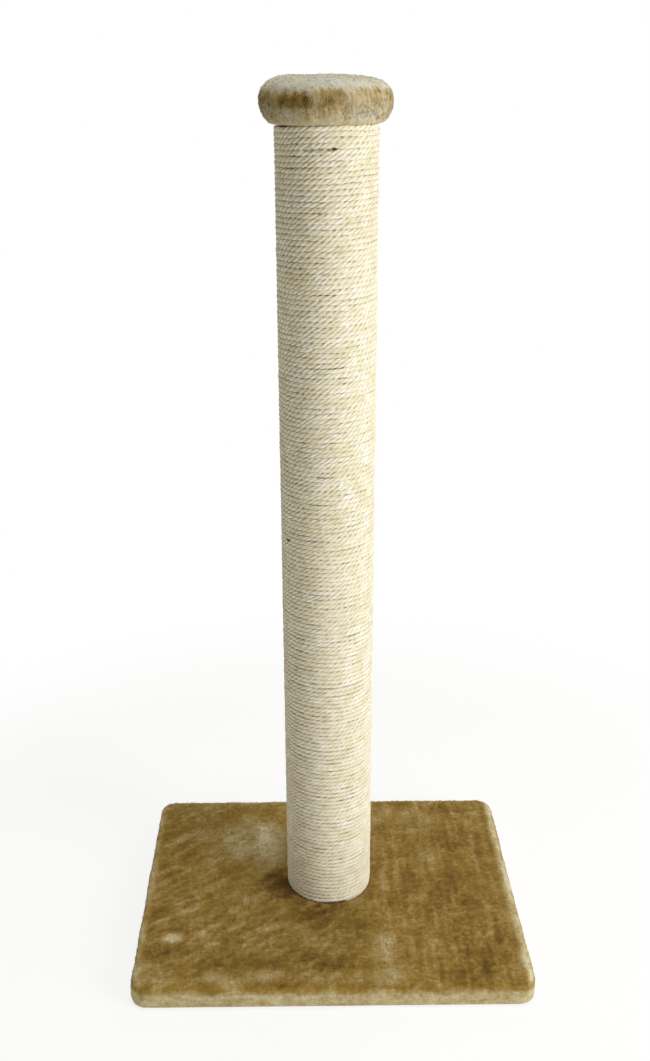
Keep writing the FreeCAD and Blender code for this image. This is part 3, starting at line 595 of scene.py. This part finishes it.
base = {
    "cell": 1.5 * mm,
    "cornerRadius": 17 * mm,
    "topEdge": 6 * mm,
    "lowerEdge": 2.4 * mm,
    "hemOpening": (160 * mm, 115 * mm, 12 * mm),     # the bare board's half sides and corner radius
    "hemTop": 2.45 * mm,
    "boltHole": 4.6 * mm,
    "seatLevel": 19.5 * mm,      # where the post presses the pile down to
    "seatRadius": 44.9 * mm,
    "seatShoulder": 1.1 * mm,
    "flattened": 8 * mm,         # how far round the seat the pile lies flatter
    "play": (0.3 * mm, 0.1 * mm),    # beside the board and over it
    "stapleLine": 22 * mm,       # from the board's edge to the staples
    "stapleDip": 1.15 * mm,
    # strips of painted sheen along the right, left, front and back edges: where each begins to fade, its end,
    # how far brushed
    "edgeSheenStrips": ((5 * mm, 13 * mm, 0.42), (2 * mm, 12 * mm, 0.30), (2 * mm, 14 * mm, -0.05),
               (3 * mm, 9 * mm, 0.22)),
    "leftFade": (-20 * mm, 60 * mm),     # the pile lies slantwise left of the first, and not past the second
    "slant": math.radians(38),
    "faceSheen": (0.84, 0.48),     # low on the side faces, and at their top
    "faceLevels": (13 * mm, 22.5 * mm),
    # patches of painted sheen and shade in millimetres: across, back, half width, half depth, and how far
    # brushed up, paler with sheen, or darker with shade below 0
    "patches": (
        (-164, -82, 13, 9, 0.54), (-178, -148, 30, 11, 0.16), (-99, -144, 30, 12, 0.18),
        (-66, -136, 24, 10, 0.20), (11, -140, 45, 12, 0.12), (55, -96, 18, 30, 0.18),
        (57, -142, 24, 16, 0.22), (-100, 82, 46, 46, 0.29), (-62, 70, 26, 60, 0.26),
        (80, 122, 34, 24, 0.12), (-170, 104, 26, 26, 0.04), (-139, 66, 34, 30, -0.04),
        # the patch at -54, 0, just left of the post's foot, is the post's shadow painted on the pile; the one
        # at -40, -22 darkens the pile beside the foot's front
        (-128, 132, 30, 14, -0.05), (-54, 0, 20, 26, -0.42),
        (-40, -22, 18, 16, -0.2), (158, -100, 34, 30, -0.14), (134, -136, 26, 16, -0.15),
        (113, 40, 16, 40, 0.08), (140, 90, 26, 40, -0.02), (108, 108, 30, 26, 0.08), (162, 75, 22, 34, -0.05),
        (140, 133, 26, 14, -0.18), (15, -56, 42, 22, -0.12), (-7, -92, 22, 14, 0.10), (131, 5, 16, 60, -0.12),
        (-96, -16, 30, 14, 0.10), (-150, 10, 36, 18, -0.06), (-30, -120, 40, 14, -0.10),
        (90, -30, 26, 50, -0.06),
    ),
}


def movedRound(point, now, then):
    # where a point on one rounded rectangle (half width, half depth, radius) comes to on another
    x, y, radius = now
    near = Vector((max(min(point.x, x - radius), radius - x), max(min(point.y, y - radius), radius - y)))
    outward = (point.xy - near).normalized()
    shareX, shareY = near.x / (x - radius), near.y / (y - radius)
    x, y, radius = then
    return shareX * (x - radius) + outward.x * radius, shareY * (y - radius) + outward.y * radius


def bendCorner(point, x, y, radius):
    # a square corner's points on a round one
    a = (abs(point.x) - (x - radius)) / radius
    b = (abs(point.y) - (y - radius)) / radius
    if a > 0 and b > 0:
        point.x = math.copysign(x - radius + radius * a * math.sqrt(1 - b * b / 2), point.x)
        point.y = math.copysign(y - radius + radius * b * math.sqrt(1 - a * a / 2), point.y)


def foldLevels(base):
    # the sheet's way from its rounded top edge to the hem and back inside it: rounded rectangles and levels
    width, depth, top = plushHigh
    corner, edge, lower = base["cornerRadius"], base["topEdge"], base["lowerEdge"]
    levels = []
    for step in range(1, 7):
        angle = step / 6 * math.pi / 2
        inset = edge * (1 - math.sin(angle))
        levels.append((width - inset, depth - inset, corner - inset, top - edge * (1 - math.cos(angle))))
    sideSteps = round((top - edge - lower) / base["cell"])
    for step in range(1, sideSteps + 1):
        levels.append((width, depth, corner, top - edge - (top - edge - lower) * step / sideSteps))
    for step in range(1, 4):
        angle = step / 3 * math.pi / 2
        inset = lower * (1 - math.cos(angle))
        levels.append((width - inset, depth - inset, corner - inset, lower * (1 - math.sin(angle))))
    opening = base["hemOpening"]
    start = (width - lower, depth - lower, corner - lower)
    hemWidth = start[0] - opening[0]
    line = (start[0] - (boardHigh.x - base["stapleLine"])) / hemWidth
    nearStaples = [line + off * mm / hemWidth for off in (-3, -1.3, 0, 1.3, 3)]
    shares = [0.12, 0.24, 0.36, 0.48] + nearStaples + [0.85, 1.0]
    for share in shares:
        levels.append(tuple(a + (b - a) * share for a, b in zip(start, opening)) + (0.0,))
    beside, over = base["play"]
    inside = (boardHigh.x + beside, boardHigh.y + beside, opening[2] + beside)
    levels.append(opening + (base["hemTop"] * 0.5,))
    for share in (0.0, 0.35, 0.7, 1.0):
        levels.append(tuple(a + (b - a) * share for a, b in zip(opening, inside)) + (base["hemTop"],))
    levels.append(inside + (boardHigh.z + over,))
    return levels


def growRim(bm, rim):
    # adds a row of faces, and gives back the new rim and its points
    grown = bmesh.ops.extrude_edge_only(bm, edges=rim)["geom"]
    rim = [item for item in grown if isinstance(item, bmesh.types.BMEdge) and item.is_boundary]
    return rim, {vert for side in rim for vert in side.verts}


def foldBasePlush(base):
    edge = base["topEdge"]
    flat = (plushHigh.x - edge, plushHigh.y - edge, base["cornerRadius"] - edge)
    bm = bmesh.new()
    bmesh.ops.create_grid(bm, x_segments=round(2 * flat[0] / base["cell"]),
                          y_segments=round(2 * flat[1] / base["cell"]), size=1)
    bmesh.ops.scale(bm, vec=(flat[0], flat[1], 1), verts=bm.verts)
    bmesh.ops.translate(bm, vec=(0, 0, plushHigh.z), verts=bm.verts)
    for vert in bm.verts:
        bendCorner(vert.co, *flat)
    hole = [face for face in bm.faces
            if (face.calc_center_median().xy - postAxis.xy).length < base["boltHole"]]
    bmesh.ops.delete(bm, geom=hole, context="FACES")
    rims = [side for side in bm.edges if side.is_boundary]
    holeRim = [side for side in rims if (side.verts[0].co.xy - postAxis.xy).length < 0.03]
    inRim = set(holeRim)
    loop = [side for side in rims if side not in inRim]
    now = flat
    for level in foldLevels(base):
        loop, verts = growRim(bm, loop)
        for vert in verts:
            vert.co.x, vert.co.y = movedRound(vert.co, now, level[:3])
            vert.co.z = level[3]
        now = level[:3]
    inner, verts = growRim(bm, holeRim)
    for vert in verts:
        vert.co.z = boardHigh.z + base["play"][1]
    bmesh.ops.triangle_fill(bm, use_beauty=False, use_dissolve=False, edges=loop + inner)
    bmesh.ops.recalc_face_normals(bm, faces=bm.faces)
    return addPiece("base_plush_cover", bm, basePile)


def pressOver(points, chosen, node, rise):
    # a hem's points stand off where a staple holds it down
    tree = searchTree(nodes[node].data)
    for number in np.flatnonzero(chosen):
        hit, _, _, distance = tree.find_nearest(Vector(points[number]), 4 * mm)
        if hit is not None:
            points[number, 2] += rise * (1 - float(smoothStep(distance, 0.7 * mm, 3.0 * mm)))


def layPile(cover, base):
    # the pile's lie on the top: undulation, patches of painted sheen and shade, streaks and a seat under the
    # post
    mesh = cover.data
    points = readPoints(mesh)
    normals = readPoints(mesh, "normal")
    x, y, z = points.T
    outside = np.any(np.abs(points) > np.array(boardHigh) + 1 * mm, axis=1) & (z > 2 * mm)
    fromPost = roundPost(points)[0]
    turn = base["slant"]
    slant = np.stack([(x * math.cos(turn) + y * math.sin(turn)) * 0.25,
                      -x * math.sin(turn) + y * math.cos(turn), z], axis=1)
    leftShare = 1 - smoothStep(x, *base["leftFade"])
    diagonal = noiseAt(slant, 7, 22) * leftShare
    upright = noiseAt(points * (1, 0.16, 1), 7, 26) * (1 - leftShare)
    level = noiseAt(points * (0.13, 1, 1), 6, 27)
    streaks = diagonal + 0.8 * upright + 0.35 * level
    lie = noiseAt(points, 40, 21)
    cloud = noiseAt(points, 21, 25)
    tufts = noiseAt(points, 5, 23)
    small = noiseAt(points, 2.2, 24)
    relief = (0.45 * lie + 0.4 * streaks + 0.3 * tufts + 0.25 * small) * mm
    seat = base["seatRadius"]
    free = outside * smoothStep(fromPost, seat, seat + base["flattened"])
    free = free * smoothStep(z, 2.0 * mm, 6 * mm)
    points += normals * (relief * free)[:, None]
    top = outside & (z > 20 * mm)
    pressed = 1 - smoothStep(fromPost, seat - 0.6 * mm, seat + base["seatShoulder"])
    z[top] += (base["seatLevel"] - z[top]) * pressed[top]
    pressOver(points, z < 0.3 * mm, "base_staples", base["stapleDip"])
    writePoints(mesh, points)
    mottle = noiseAt(points * (1, 0.7, 1), 11, 28)
    nap = 0.45 + 0.08 * cloud + 0.06 * lie + 0.13 * streaks + 0.08 * mottle + 0.09 * tufts + 0.09 * small
    for across, back, wide, deep, amount in base["patches"]:
        away = np.hypot((x / mm - across) / wide, (y / mm - back) / deep)
        ragged = away + 0.22 * streaks + 0.22 * tufts
        nap += amount * (1 - smoothStep(ragged, 0.25, 1.25))
    rough = (1.6 * streaks + 1.4 * tufts) * mm
    distances = (plushHigh.x - x, x - plushLow.x, y - plushLow.y, plushHigh.y - y)
    for distance, (start, end, amount) in zip(distances, base["edgeSheenStrips"]):
        nap += amount * (1 - smoothStep(distance + rough, start, end))
    # the side faces are brushed up and painted paler with sheen, most of all on their lower half
    face = 1 - smoothStep(normals[:, 2], 0.35, 0.95)
    upwards = z - (1.6 * mottle + 1.4 * tufts) * mm
    lowNap, highNap = base["faceSheen"]
    faceSheen = lowNap - (lowNap - highNap) * smoothStep(upwards, *base["faceLevels"])
    nap += face * (faceSheen + 0.04 * streaks + 0.03 * mottle + 0.05 * tufts + 0.04 * small - nap) * 0.94
    # painted shade round the post's foot, where it presses the pile down
    nap -= 0.12 * pressed * top
    writeTone(mesh, "nap", np.clip(nap, 0, 1.1))
    return points, normals, free, nap


cover = foldBasePlush(base)
coverPoints, coverNormals, coverFree, coverNap = layPile(cover, base)
finishPiece(cover, "base_pile", "base_plush")
print("base plush laid:", len(cover.data.polygons), "faces")

baseTufts = {"count": 11000, "length": 3.6 * mm, "width": 0.75 * mm, "tipShare": 0.25, "flatness": 0.6,
             "sunk": 0.7 * mm, "seed": 41}


def tuftBase(tufts):
    # small clumps of pile that stand proud of the sheet, leaning with the nap
    random = np.random.default_rng(tufts["seed"])
    usable = np.flatnonzero(coverFree > 0.5)
    chosen = random.choice(usable, tufts["count"], replace=False)
    roots = coverPoints[chosen] - coverNormals[chosen] * tufts["sunk"]
    normals = coverNormals[chosen]
    leftShare = (1 - smoothStep(roots[:, 0], *base["leftFade"]))[:, None]
    nap = leftShare * (0.75, 0.6, 0) + (1 - leftShare) * (0.15, -0.95, 0)
    nap = nap + random.normal(0, 0.35, (len(chosen), 3))
    nap -= normals * np.sum(nap * normals, axis=1)[:, None]
    down = np.where(normals[:, 2:3] < 0.6, 1.0, 0.0) * (0, 0, -0.5)
    starts = 0.75 * normals + 0.6 * nap
    leans = 0.12 * normals + unit(nap) + down
    # each tuft takes the painted sheen and shade tone of the sheet under it, varied a little
    tone = coverNap[chosen] + random.normal(0.04, 0.11, len(chosen))
    # shorter where they would show against the light
    sizes = np.where(normals[:, 2] < 0.85, 0.55, 1.0)
    return growHairs("base_pile_tufts", roots, starts, leans, tufts, basePile,
                     {"nap": np.clip(tone, 0, 1.1)}, sizes)


finishPiece(tuftBase(baseTufts), "base_pile")
print("base tufts added")


# The cap: wadding over its board, and plush pulled over that and stapled under it

capLow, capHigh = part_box("cap_plush")
paddingLow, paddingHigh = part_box("cap_padding")
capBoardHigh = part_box("cap_board")[1]

cap = {
    "aroundSteps": 324,
    "equator": 17 * mm,          # above the lip
    "rowSpacing": 1.1 * mm,
    "crownRise": 0.7 * mm,
    "crownProud": 0.8 * mm,      # how far the pile stands over the frame's own crown
    "rimRadius": 29 * mm,
    "shoulderFullness": 3.0,
    "lipFullness": 1.9,
    "hemLevel": 2.5 * mm,        # above the lip
    "hemThickness": 2.45 * mm,
    "hemRadius": 24 * mm,
    "seatRadius": 46.05 * mm,
    "coverThickness": 6.5 * mm,
    "liningBend": (12.2 * mm, 12.5 * mm),    # its radii, inside the cover
    "liningLevel": 10 * mm,      # of that bend, above the wadding's lower edge
    "liningPlay": 0.3 * mm,      # over the wadding
    "stapleDip": 1.15 * mm,
    "leftFullness": 2.1 * mm,    # how much fuller the pile stands on the left shoulder
    # marks in the pile: azimuth, height, half width in degrees, half height in mm, how far brushed up,
    # painted paler with sheen, or darker with shade below 0
    "marks": ((-117, 21, 22, 8, -0.34), (-103, 15, 12, 6, -0.06), (-155, 26, 13, 8, -0.26),
              (-35, 31, 26, 6, -0.18), (-62, 20, 22, 7, 0.04), (-20, 20, 26, 9, 0.10), (-42, 8, 36, 8, 0.15),
              (-128, 9, 16, 5, 0.12), (-140, 32, 9, 5, 0.30), (40, 25, 40, 8, -0.2), (130, 24, 35, 8, -0.15)),
    # for the cloth simulation
    "startInset": 0.3 * mm,
    "bagSteps": 96,
    "heldHeight": 2.5 * mm,      # of the lip
    "voxel": 4.0 * mm,
    "pressure": 20.0,
    "frames": 20,
    "mostMove": 4 * mm,
}


def arcPoints(centre, radii, start, end, steps, fullness=2):
    # points of (radius, height) on an arc, in degrees, without its first; over 2 is squarer than an ellipse
    found = []
    for step in range(1, steps + 1):
        angle = math.radians(start + (end - start) * step / steps)
        across, up = math.cos(angle), math.sin(angle)
        found.append((centre[0] + radii[0] * math.copysign(abs(across) ** (2 / fullness), across),
                      centre[1] + radii[1] * math.copysign(abs(up) ** (2 / fullness), up)))
    return found


def crownPoints(radius, top, rise, steps=20):
    # from the axis outwards over a low dome
    return [(radius * step / steps, top - rise * (step / steps) ** 2) for step in range(steps + 1)]


def evenOutline(outline, spacing):
    # the same outline with its points a like distance apart
    places = np.array(outline)
    lengths = np.append(0, np.cumsum(np.linalg.norm(np.diff(places, axis=0), axis=1)))
    at = np.linspace(0, lengths[-1], round(lengths[-1] / spacing) + 1)
    return list(zip(np.interp(at, lengths, places[:, 0]), np.interp(at, lengths, places[:, 1])))


def linePoints(start, end, steps):
    return [(start[0] + (end[0] - start[0]) * step / steps, start[1] + (end[1] - start[1]) * step / steps)
            for step in range(1, steps + 1)]


def turnOutline(name, outline, steps, material):
    # an outline of (radius, height) points, from axis to axis, turned into a closed skin
    bm = bmesh.new()
    verts = [bm.verts.new((radius, 0, height)) for radius, height in outline]
    sides = [bm.edges.new(pair) for pair in zip(verts, verts[1:])]
    bmesh.ops.translate(bm, vec=postAxis, verts=verts)
    bmesh.ops.spin(bm, geom=verts + sides, cent=postAxis, axis=(0, 0, 1), dvec=(0, 0, 0), angle=math.tau,
                   steps=steps, use_merge=True, use_normal_flip=False, use_duplicate=False)
    bmesh.ops.remove_doubles(bm, verts=bm.verts, dist=0.005 * mm)
    bmesh.ops.recalc_face_normals(bm, faces=bm.faces)
    return addPiece(name, bm, material)


def coverOutline(cap, inset):
    # crown, rim and lip, from the axis outwards; inset makes it smaller all round
    lip = capLow.z + inset
    equator = capLow.z + cap["equator"]
    widest = capHigh.x - postAxis.x - inset
    shoulder = widest + inset - cap["rimRadius"]
    crown = capHigh.z + cap["crownProud"] - inset
    seat = cap["seatRadius"]
    outline = crownPoints(shoulder, crown, cap["crownRise"])
    upperRadii = (widest - shoulder, crown - cap["crownRise"] - equator)
    outline += arcPoints((shoulder, equator), upperRadii, 90, 0, 60, cap["shoulderFullness"])
    outline += arcPoints((seat, equator), (widest - seat, equator - lip), 0, -90, 30, cap["lipFullness"])
    return evenOutline(outline, cap["rowSpacing"])


def makeCapCover(cap):
    hem = capLow.z + cap["hemLevel"]
    hemTop = hem + cap["hemThickness"]
    wall = cap["coverThickness"]
    lining = capHigh.x - postAxis.x - wall
    outline = coverOutline(cap, 0)
    bend = paddingLow.z + cap["liningLevel"]
    bendWidth, bendHeight = cap["liningBend"]
    for corner, steps in (((cap["seatRadius"], hem), 2), ((cap["hemRadius"], hem), 15),
                          ((cap["hemRadius"], hemTop), 2), ((lining, hemTop), 8), ((lining, bend), 3)):
        outline += linePoints(outline[-1], corner, steps)
    outline += arcPoints((lining - bendWidth, bend), (bendWidth, bendHeight), 0, 90, 10)
    outline += linePoints(outline[-1], (0, paddingHigh.z + cap["liningPlay"]), 8)
    return turnOutline("cap_plush_cover", outline, cap["aroundSteps"], capPile)


def blowUp(cap):
    # a closed bag in the cover's shape, filled by pressure as the wadding fills it, held at its hem
    outline = coverOutline(cap, cap["startInset"])
    outline += linePoints(outline[-1], (0, outline[-1][1]), 10)
    bag = turnOutline("cap_bag", outline, cap["bagSteps"], capPile)
    even = bag.modifiers.new("even", "REMESH")
    even.mode = "VOXEL"
    even.voxel_size = cap["voxel"]
    before = readPoints(applyModifiers(bag))
    held = bag.vertex_groups.new(name="held")
    low = np.flatnonzero(before[:, 2] < capLow.z + cap["startInset"] + cap["heldHeight"])
    held.add(low.tolist(), 1.0, "REPLACE")
    cloth = bag.modifiers.new("filled", "CLOTH")
    cloth.settings.use_pressure = True
    cloth.settings.uniform_pressure_force = cap["pressure"]
    cloth.settings.effector_weights.gravity = 0
    cloth.settings.vertex_group_mass = "held"
    cloth.point_cache.frame_start, cloth.point_cache.frame_end = 1, cap["frames"]
    for step in range(1, cap["frames"] + 1):
        scene.frame_set(step)
    after = readPoints(applyModifiers(bag))
    scene.frame_set(1)
    move = after - before
    far = np.linalg.norm(move, axis=1)
    print("cap filled: moves up to", round(float(far.max()) / mm, 1), "mm")
    # the more a point moves, the more of its move is held back
    capped = np.tanh(far / cap["mostMove"]) * cap["mostMove"] / np.maximum(far, 1e-9)
    writePoints(bag.data, before + move * capped[:, None])
    smooth = bag.modifiers.new("smooth", "SUBSURF")
    smooth.levels = smooth.render_levels = 1
    found = searchTree(applyModifiers(bag))
    bpy.data.objects.remove(bag)
    return found


def aboveLip(points, start, end):
    # 0 up to start and 1 from end on, in millimetres over the cap's lip
    return smoothStep(points[:, 2], capLow.z + start * mm, capLow.z + end * mm)


def shapeCap(cover, cap):
    mesh = cover.data
    points = readPoints(mesh)
    normals = readPoints(mesh, "normal")
    z = points[:, 2]
    radius = roundPost(points)[0]
    wall = cap["coverThickness"]
    outside = (z > paddingHigh.z + 1.2 * mm) | (radius > capHigh.x - postAxis.x - wall + 0.7 * mm)
    outside |= (z < capLow.z + 1.5 * mm)
    raised = aboveLip(points, 1, 7) * outside
    filled = blowUp(cap)
    reach = 7 * mm
    for number in np.flatnonzero(raised > 0):
        start = Vector(points[number] - normals[number] * reach)
        hit = filled.ray_cast(start, Vector(normals[number]), 2 * reach)[0]
        if hit is not None:
            points[number] += (np.array(hit) - points[number]) * raised[number]
    azimuth = roundPost(points)[1]
    # gathers where the sheet is drawn in under the rim, and the pile's own lumps
    ring = np.stack([np.cos(azimuth) * 0.05, np.sin(azimuth) * 0.05, z * 0.3], axis=1)
    gathers = noiseAt(ring, 7, 51) * (1 - aboveLip(points, 6, 22))
    lie = noiseAt(points, 22, 52)
    clumps = noiseAt(points * (1, 1, 0.55), 6, 53)
    small = noiseAt(points * (1, 1, 0.6), 2.4, 54)
    hanging = noiseAt(points * (1, 1, 0.2), 2.6, 55)
    cloudy = noiseAt(points * (0.6, 1, 1), 9, 56)
    crown = smoothStep(normals[:, 2], 0.5, 0.95)
    relief = 0.5 * gathers + 0.6 * lie + 0.5 * clumps + (0.3 - 0.15 * crown) * small
    relief = relief * (1 - 0.35 * crown) * mm
    free = outside * aboveLip(points, 0.5, 5)
    degrees = np.degrees(azimuth)
    leftward = np.exp(-((degrees % 360 - 178) / 48) ** 2) * smoothStep(radius, 12 * mm, 38 * mm)
    leftward *= aboveLip(points, 6, 26)
    points += normals * (relief * free + cap["leftFullness"] * leftward * outside)[:, None]
    inHem = (z < capLow.z + cap["hemLevel"] + 0.1 * mm) & (radius < 44 * mm)
    pressOver(points, inHem, "cap_staples", cap["stapleDip"])
    writePoints(mesh, points)
    height = (z - capLow.z) / mm
    # the crown, facing up, is painted pale with sheen, and this pale top comes down a little further left of
    # the middle
    dip = 0.2 * np.exp(-((degrees + 110) / 24) ** 2)
    onTop = smoothStep(normals[:, 2] + 0.18 * lie + 0.14 * clumps + 0.08 * hanging + dip, 0.30, 0.78)
    low = 1 - smoothStep(height + 2.5 * clumps, 8, 19)
    nap = 0.46 + 0.13 * lie + 0.12 * clumps + 0.12 * hanging
    nap = nap + (0.93 + 0.12 * cloudy + 0.05 * small - nap) * onTop * 0.92
    nap = nap + (0.68 + 0.12 * gathers + 0.14 * hanging - nap) * low * 0.9
    for at, level, wide, tall, amount in cap["marks"]:
        off = (degrees - at + 180) % 360 - 180
        away = np.hypot(off / wide, (height - level) / tall) + 0.2 * clumps
        nap += amount * (1 - smoothStep(away, 0.3, 1.3)) * (1 - 0.8 * onTop)
    writeTone(mesh, "nap", np.clip(nap, 0, 1.1))
    return points, normals, free, nap


capCover = makeCapCover(cap)
capPoints, capNormals, capFree, capNap = shapeCap(capCover, cap)
finishPiece(capCover, "cap_pile", "cap_plush")
print("cap plush shaped:", len(capCover.data.polygons), "faces")

capTufts = {"count": 10500, "length": 4.0 * mm, "width": 0.85 * mm, "tipShare": 0.2, "flatness": 0.6,
            "sunk": 0.8 * mm, "seed": 61}


def tuftCap(tufts):
    # clumps of pile: flat on the crown, hanging down round the rim
    random = np.random.default_rng(tufts["seed"])
    usable = np.flatnonzero(capFree > 0.2)
    share = np.where(capPoints[usable, 2] < capLow.z + 24 * mm, 1.0, 0.45)
    # the crown's points lie closer together towards its middle
    weight = share * (roundPost(capPoints[usable])[0] / (50 * mm))
    chosen = random.choice(usable, tufts["count"], replace=False, p=weight / weight.sum())
    normals = capNormals[chosen]
    roots = capPoints[chosen] - normals * tufts["sunk"]
    out = unit((roots - np.array(postAxis)) * (1, 1, 0))
    onRim = smoothStep(1 - normals[:, 2], 0.1, 0.6)[:, None]
    nap = onRim * (0, 0, -1.0) + (1 - onRim) * (0.35, -0.6, 0)
    nap = nap + random.normal(0, 0.3, len(chosen))[:, None] * sideways(out)
    nap = nap + random.normal(0, 0.12, (len(chosen), 3))
    nap -= normals * np.sum(nap * normals, axis=1)[:, None]
    starts = 0.4 * normals + 0.9 * nap
    leans = 0.03 * normals + unit(nap)
    # each tuft takes the painted sheen and shade tone of the cover under it, varied a little
    tone = capNap[chosen] + random.normal(0.04, 0.10, len(chosen))
    sizes = (0.65 + 0.35 * onRim[:, 0]) * (0.45 + 0.55 * aboveLip(roots, 1, 9))
    return growHairs("cap_pile_tufts", roots, starts, leans, tufts, capPile,
                     {"nap": np.clip(tone, 0, 1.1)}, sizes)


finishPiece(tuftCap(capTufts), "cap_pile")


waddingPad = {
    "play": 0.3 * mm,            # round the board
    "shoulderLevel": 10 * mm,    # above the pad's lower edge
    "crownShare": 0.75,          # how much of its radius is the crown
    "crownRise": 2 * mm,
    "boltHead": (10.3 * mm, 3.9 * mm),     # the hollow's radius and height
    "lump": 0.5 * mm,
}


def makeWaddingPad(waddingPad):
    # a little lumpy, over the board's top and round its edge
    inner = capBoardHigh.x - postAxis.x + waddingPad["play"]
    outer = paddingHigh.x - postAxis.x
    foot = paddingLow.z + waddingPad["play"]
    flat = outer * waddingPad["crownShare"]
    shoulder = paddingLow.z + waddingPad["shoulderLevel"]
    headRadius, headHeight = waddingPad["boltHead"]
    outline = crownPoints(flat, paddingHigh.z, waddingPad["crownRise"])
    outline += arcPoints((flat, shoulder), (outer - flat, outline[-1][1] - shoulder), 90, 0, 10)
    for corner, steps in (((outer, foot), 5), ((inner, foot), 2), ((inner, capBoardHigh.z), 5),
                          ((headRadius, capBoardHigh.z), 12), ((headRadius, capBoardHigh.z + headHeight), 2),
                          ((0, capBoardHigh.z + headHeight), 4)):
        outline += linePoints(outline[-1], corner, steps)
    pad = turnOutline("cap_wadding", outline, 96, wadding)
    points = readPoints(pad.data)
    normals = readPoints(pad.data, "normal")
    lumps = np.minimum(noiseAt(points, 14, 71), 0) * waddingPad["lump"]
    free = (normals[:, 2] > -0.2) & (points[:, 2] > capBoardHigh.z + 1 * mm)
    writePoints(pad.data, points + normals * (lumps * free)[:, None])
    return pad


pad = makeWaddingPad(waddingPad)
finishPiece(pad, "wadding", "cap_padding")
print("cap done")


# Floor, lamps and world

studio = {
    "floorRadius": 4.0,
    "shadowFrom": 0.42,      # within this the floor shows the shadow, and past shadowTo it is plain white
    "shadowTo": 0.75,
    "plainShare": 0.78,      # how much of the floor is plain white within that
    "ambient": 0.195,
}
lamps = {
    # name: (place, looks at, width, height, watts)
    "rightSoftbox": ((1.62, -1.06, 0.80), (0, 0, 0.38), 0.9, 1.2, 34),
    "leftFill": ((-1.0, -0.9, 0.32), (0, 0, 0.28), 0.9, 0.6, 2.3),
    "backFill": ((0.5, 1.9, 1.1), (0, 0, 0.4), 1.4, 1.4, 8),
    "topSoftbox": ((0.1, 0.1, 3.0), (0, 0, 0), 1.0, 1.0, 40),
}


def seenStraight(tree):
    # 1 for what the camera sees, or sees in metal or glass
    path = tree.nodes.new("ShaderNodeLightPath")
    bounced = addNode(tree, "Math", {"operation": "MAXIMUM"},
                      {0: path.outputs["Is Glossy Ray"], 1: path.outputs["Is Transmission Ray"]})
    return addNode(tree, "Math", {"operation": "MAXIMUM"}, {0: path.outputs["Is Camera Ray"], 1: bounced})


def makeFloor(studio):
    bm = bmesh.new()
    bmesh.ops.create_circle(bm, cap_ends=True, segments=96, radius=studio["floorRadius"])
    material = bpy.data.materials.new("paleStudioFloor")
    material.use_nodes = True
    tree = material.node_tree
    tree.nodes.clear()
    place = addNode(tree, "TexCoord", out="Object")
    far = addNode(tree, "VectorMath", {"operation": "LENGTH"}, {0: place}, out="Value")
    fade = addNode(tree, "MapRange", {"interpolation_type": "SMOOTHSTEP"},
                   {"Value": far, "From Min": studio["shadowFrom"], "From Max": studio["shadowTo"]})
    pale = addNode(tree, "BsdfDiffuse", None, {"Color": "#f4f4f2"})
    white = addNode(tree, "Emission", None, {"Color": "#ffffff", "Strength": 1.0})
    lifted = addNode(tree, "MixShader", None, {"Fac": studio["plainShare"], 1: pale, 2: white})
    shown = addNode(tree, "MixShader", None, {"Fac": fade, 1: lifted, 2: white})
    both = addNode(tree, "MixShader", None, {"Fac": seenStraight(tree), 1: pale, 2: shown})
    addNode(tree, "OutputMaterial", None, {"Surface": both})
    addPiece("floor", bm, material, smooth=False)


def hangLamps(lamps):
    for name, (place, target, width, height, watts) in lamps.items():
        data = bpy.data.lights.new(name, "AREA")
        data.shape = "RECTANGLE"
        data.size, data.size_y = width, height
        data.energy = watts
        lamp = bpy.data.objects.new(name, data)
        scene.collection.objects.link(lamp)
        lamp.location = place
        lamp.rotation_euler = (Vector(target) - Vector(place)).to_track_quat("-Z", "Y").to_euler()


def makeWorld(studio):
    world = bpy.data.worlds.new("paleStudio")
    scene.world = world
    world.use_nodes = True
    tree = world.node_tree
    tree.nodes.clear()
    lit = addNode(tree, "Background", None, {"Color": "#fff7e0", "Strength": studio["ambient"]})
    white = addNode(tree, "Background", None, {"Color": "#ffffff", "Strength": 1.0})
    both = addNode(tree, "MixShader", None, {"Fac": seenStraight(tree), 1: lit, 2: white})
    addNode(tree, "OutputWorld", None, {"Surface": both})


makeFloor(studio)
hangLamps(lamps)
makeWorld(studio)
scene.view_settings.view_transform = "Standard"
print("studio set up")
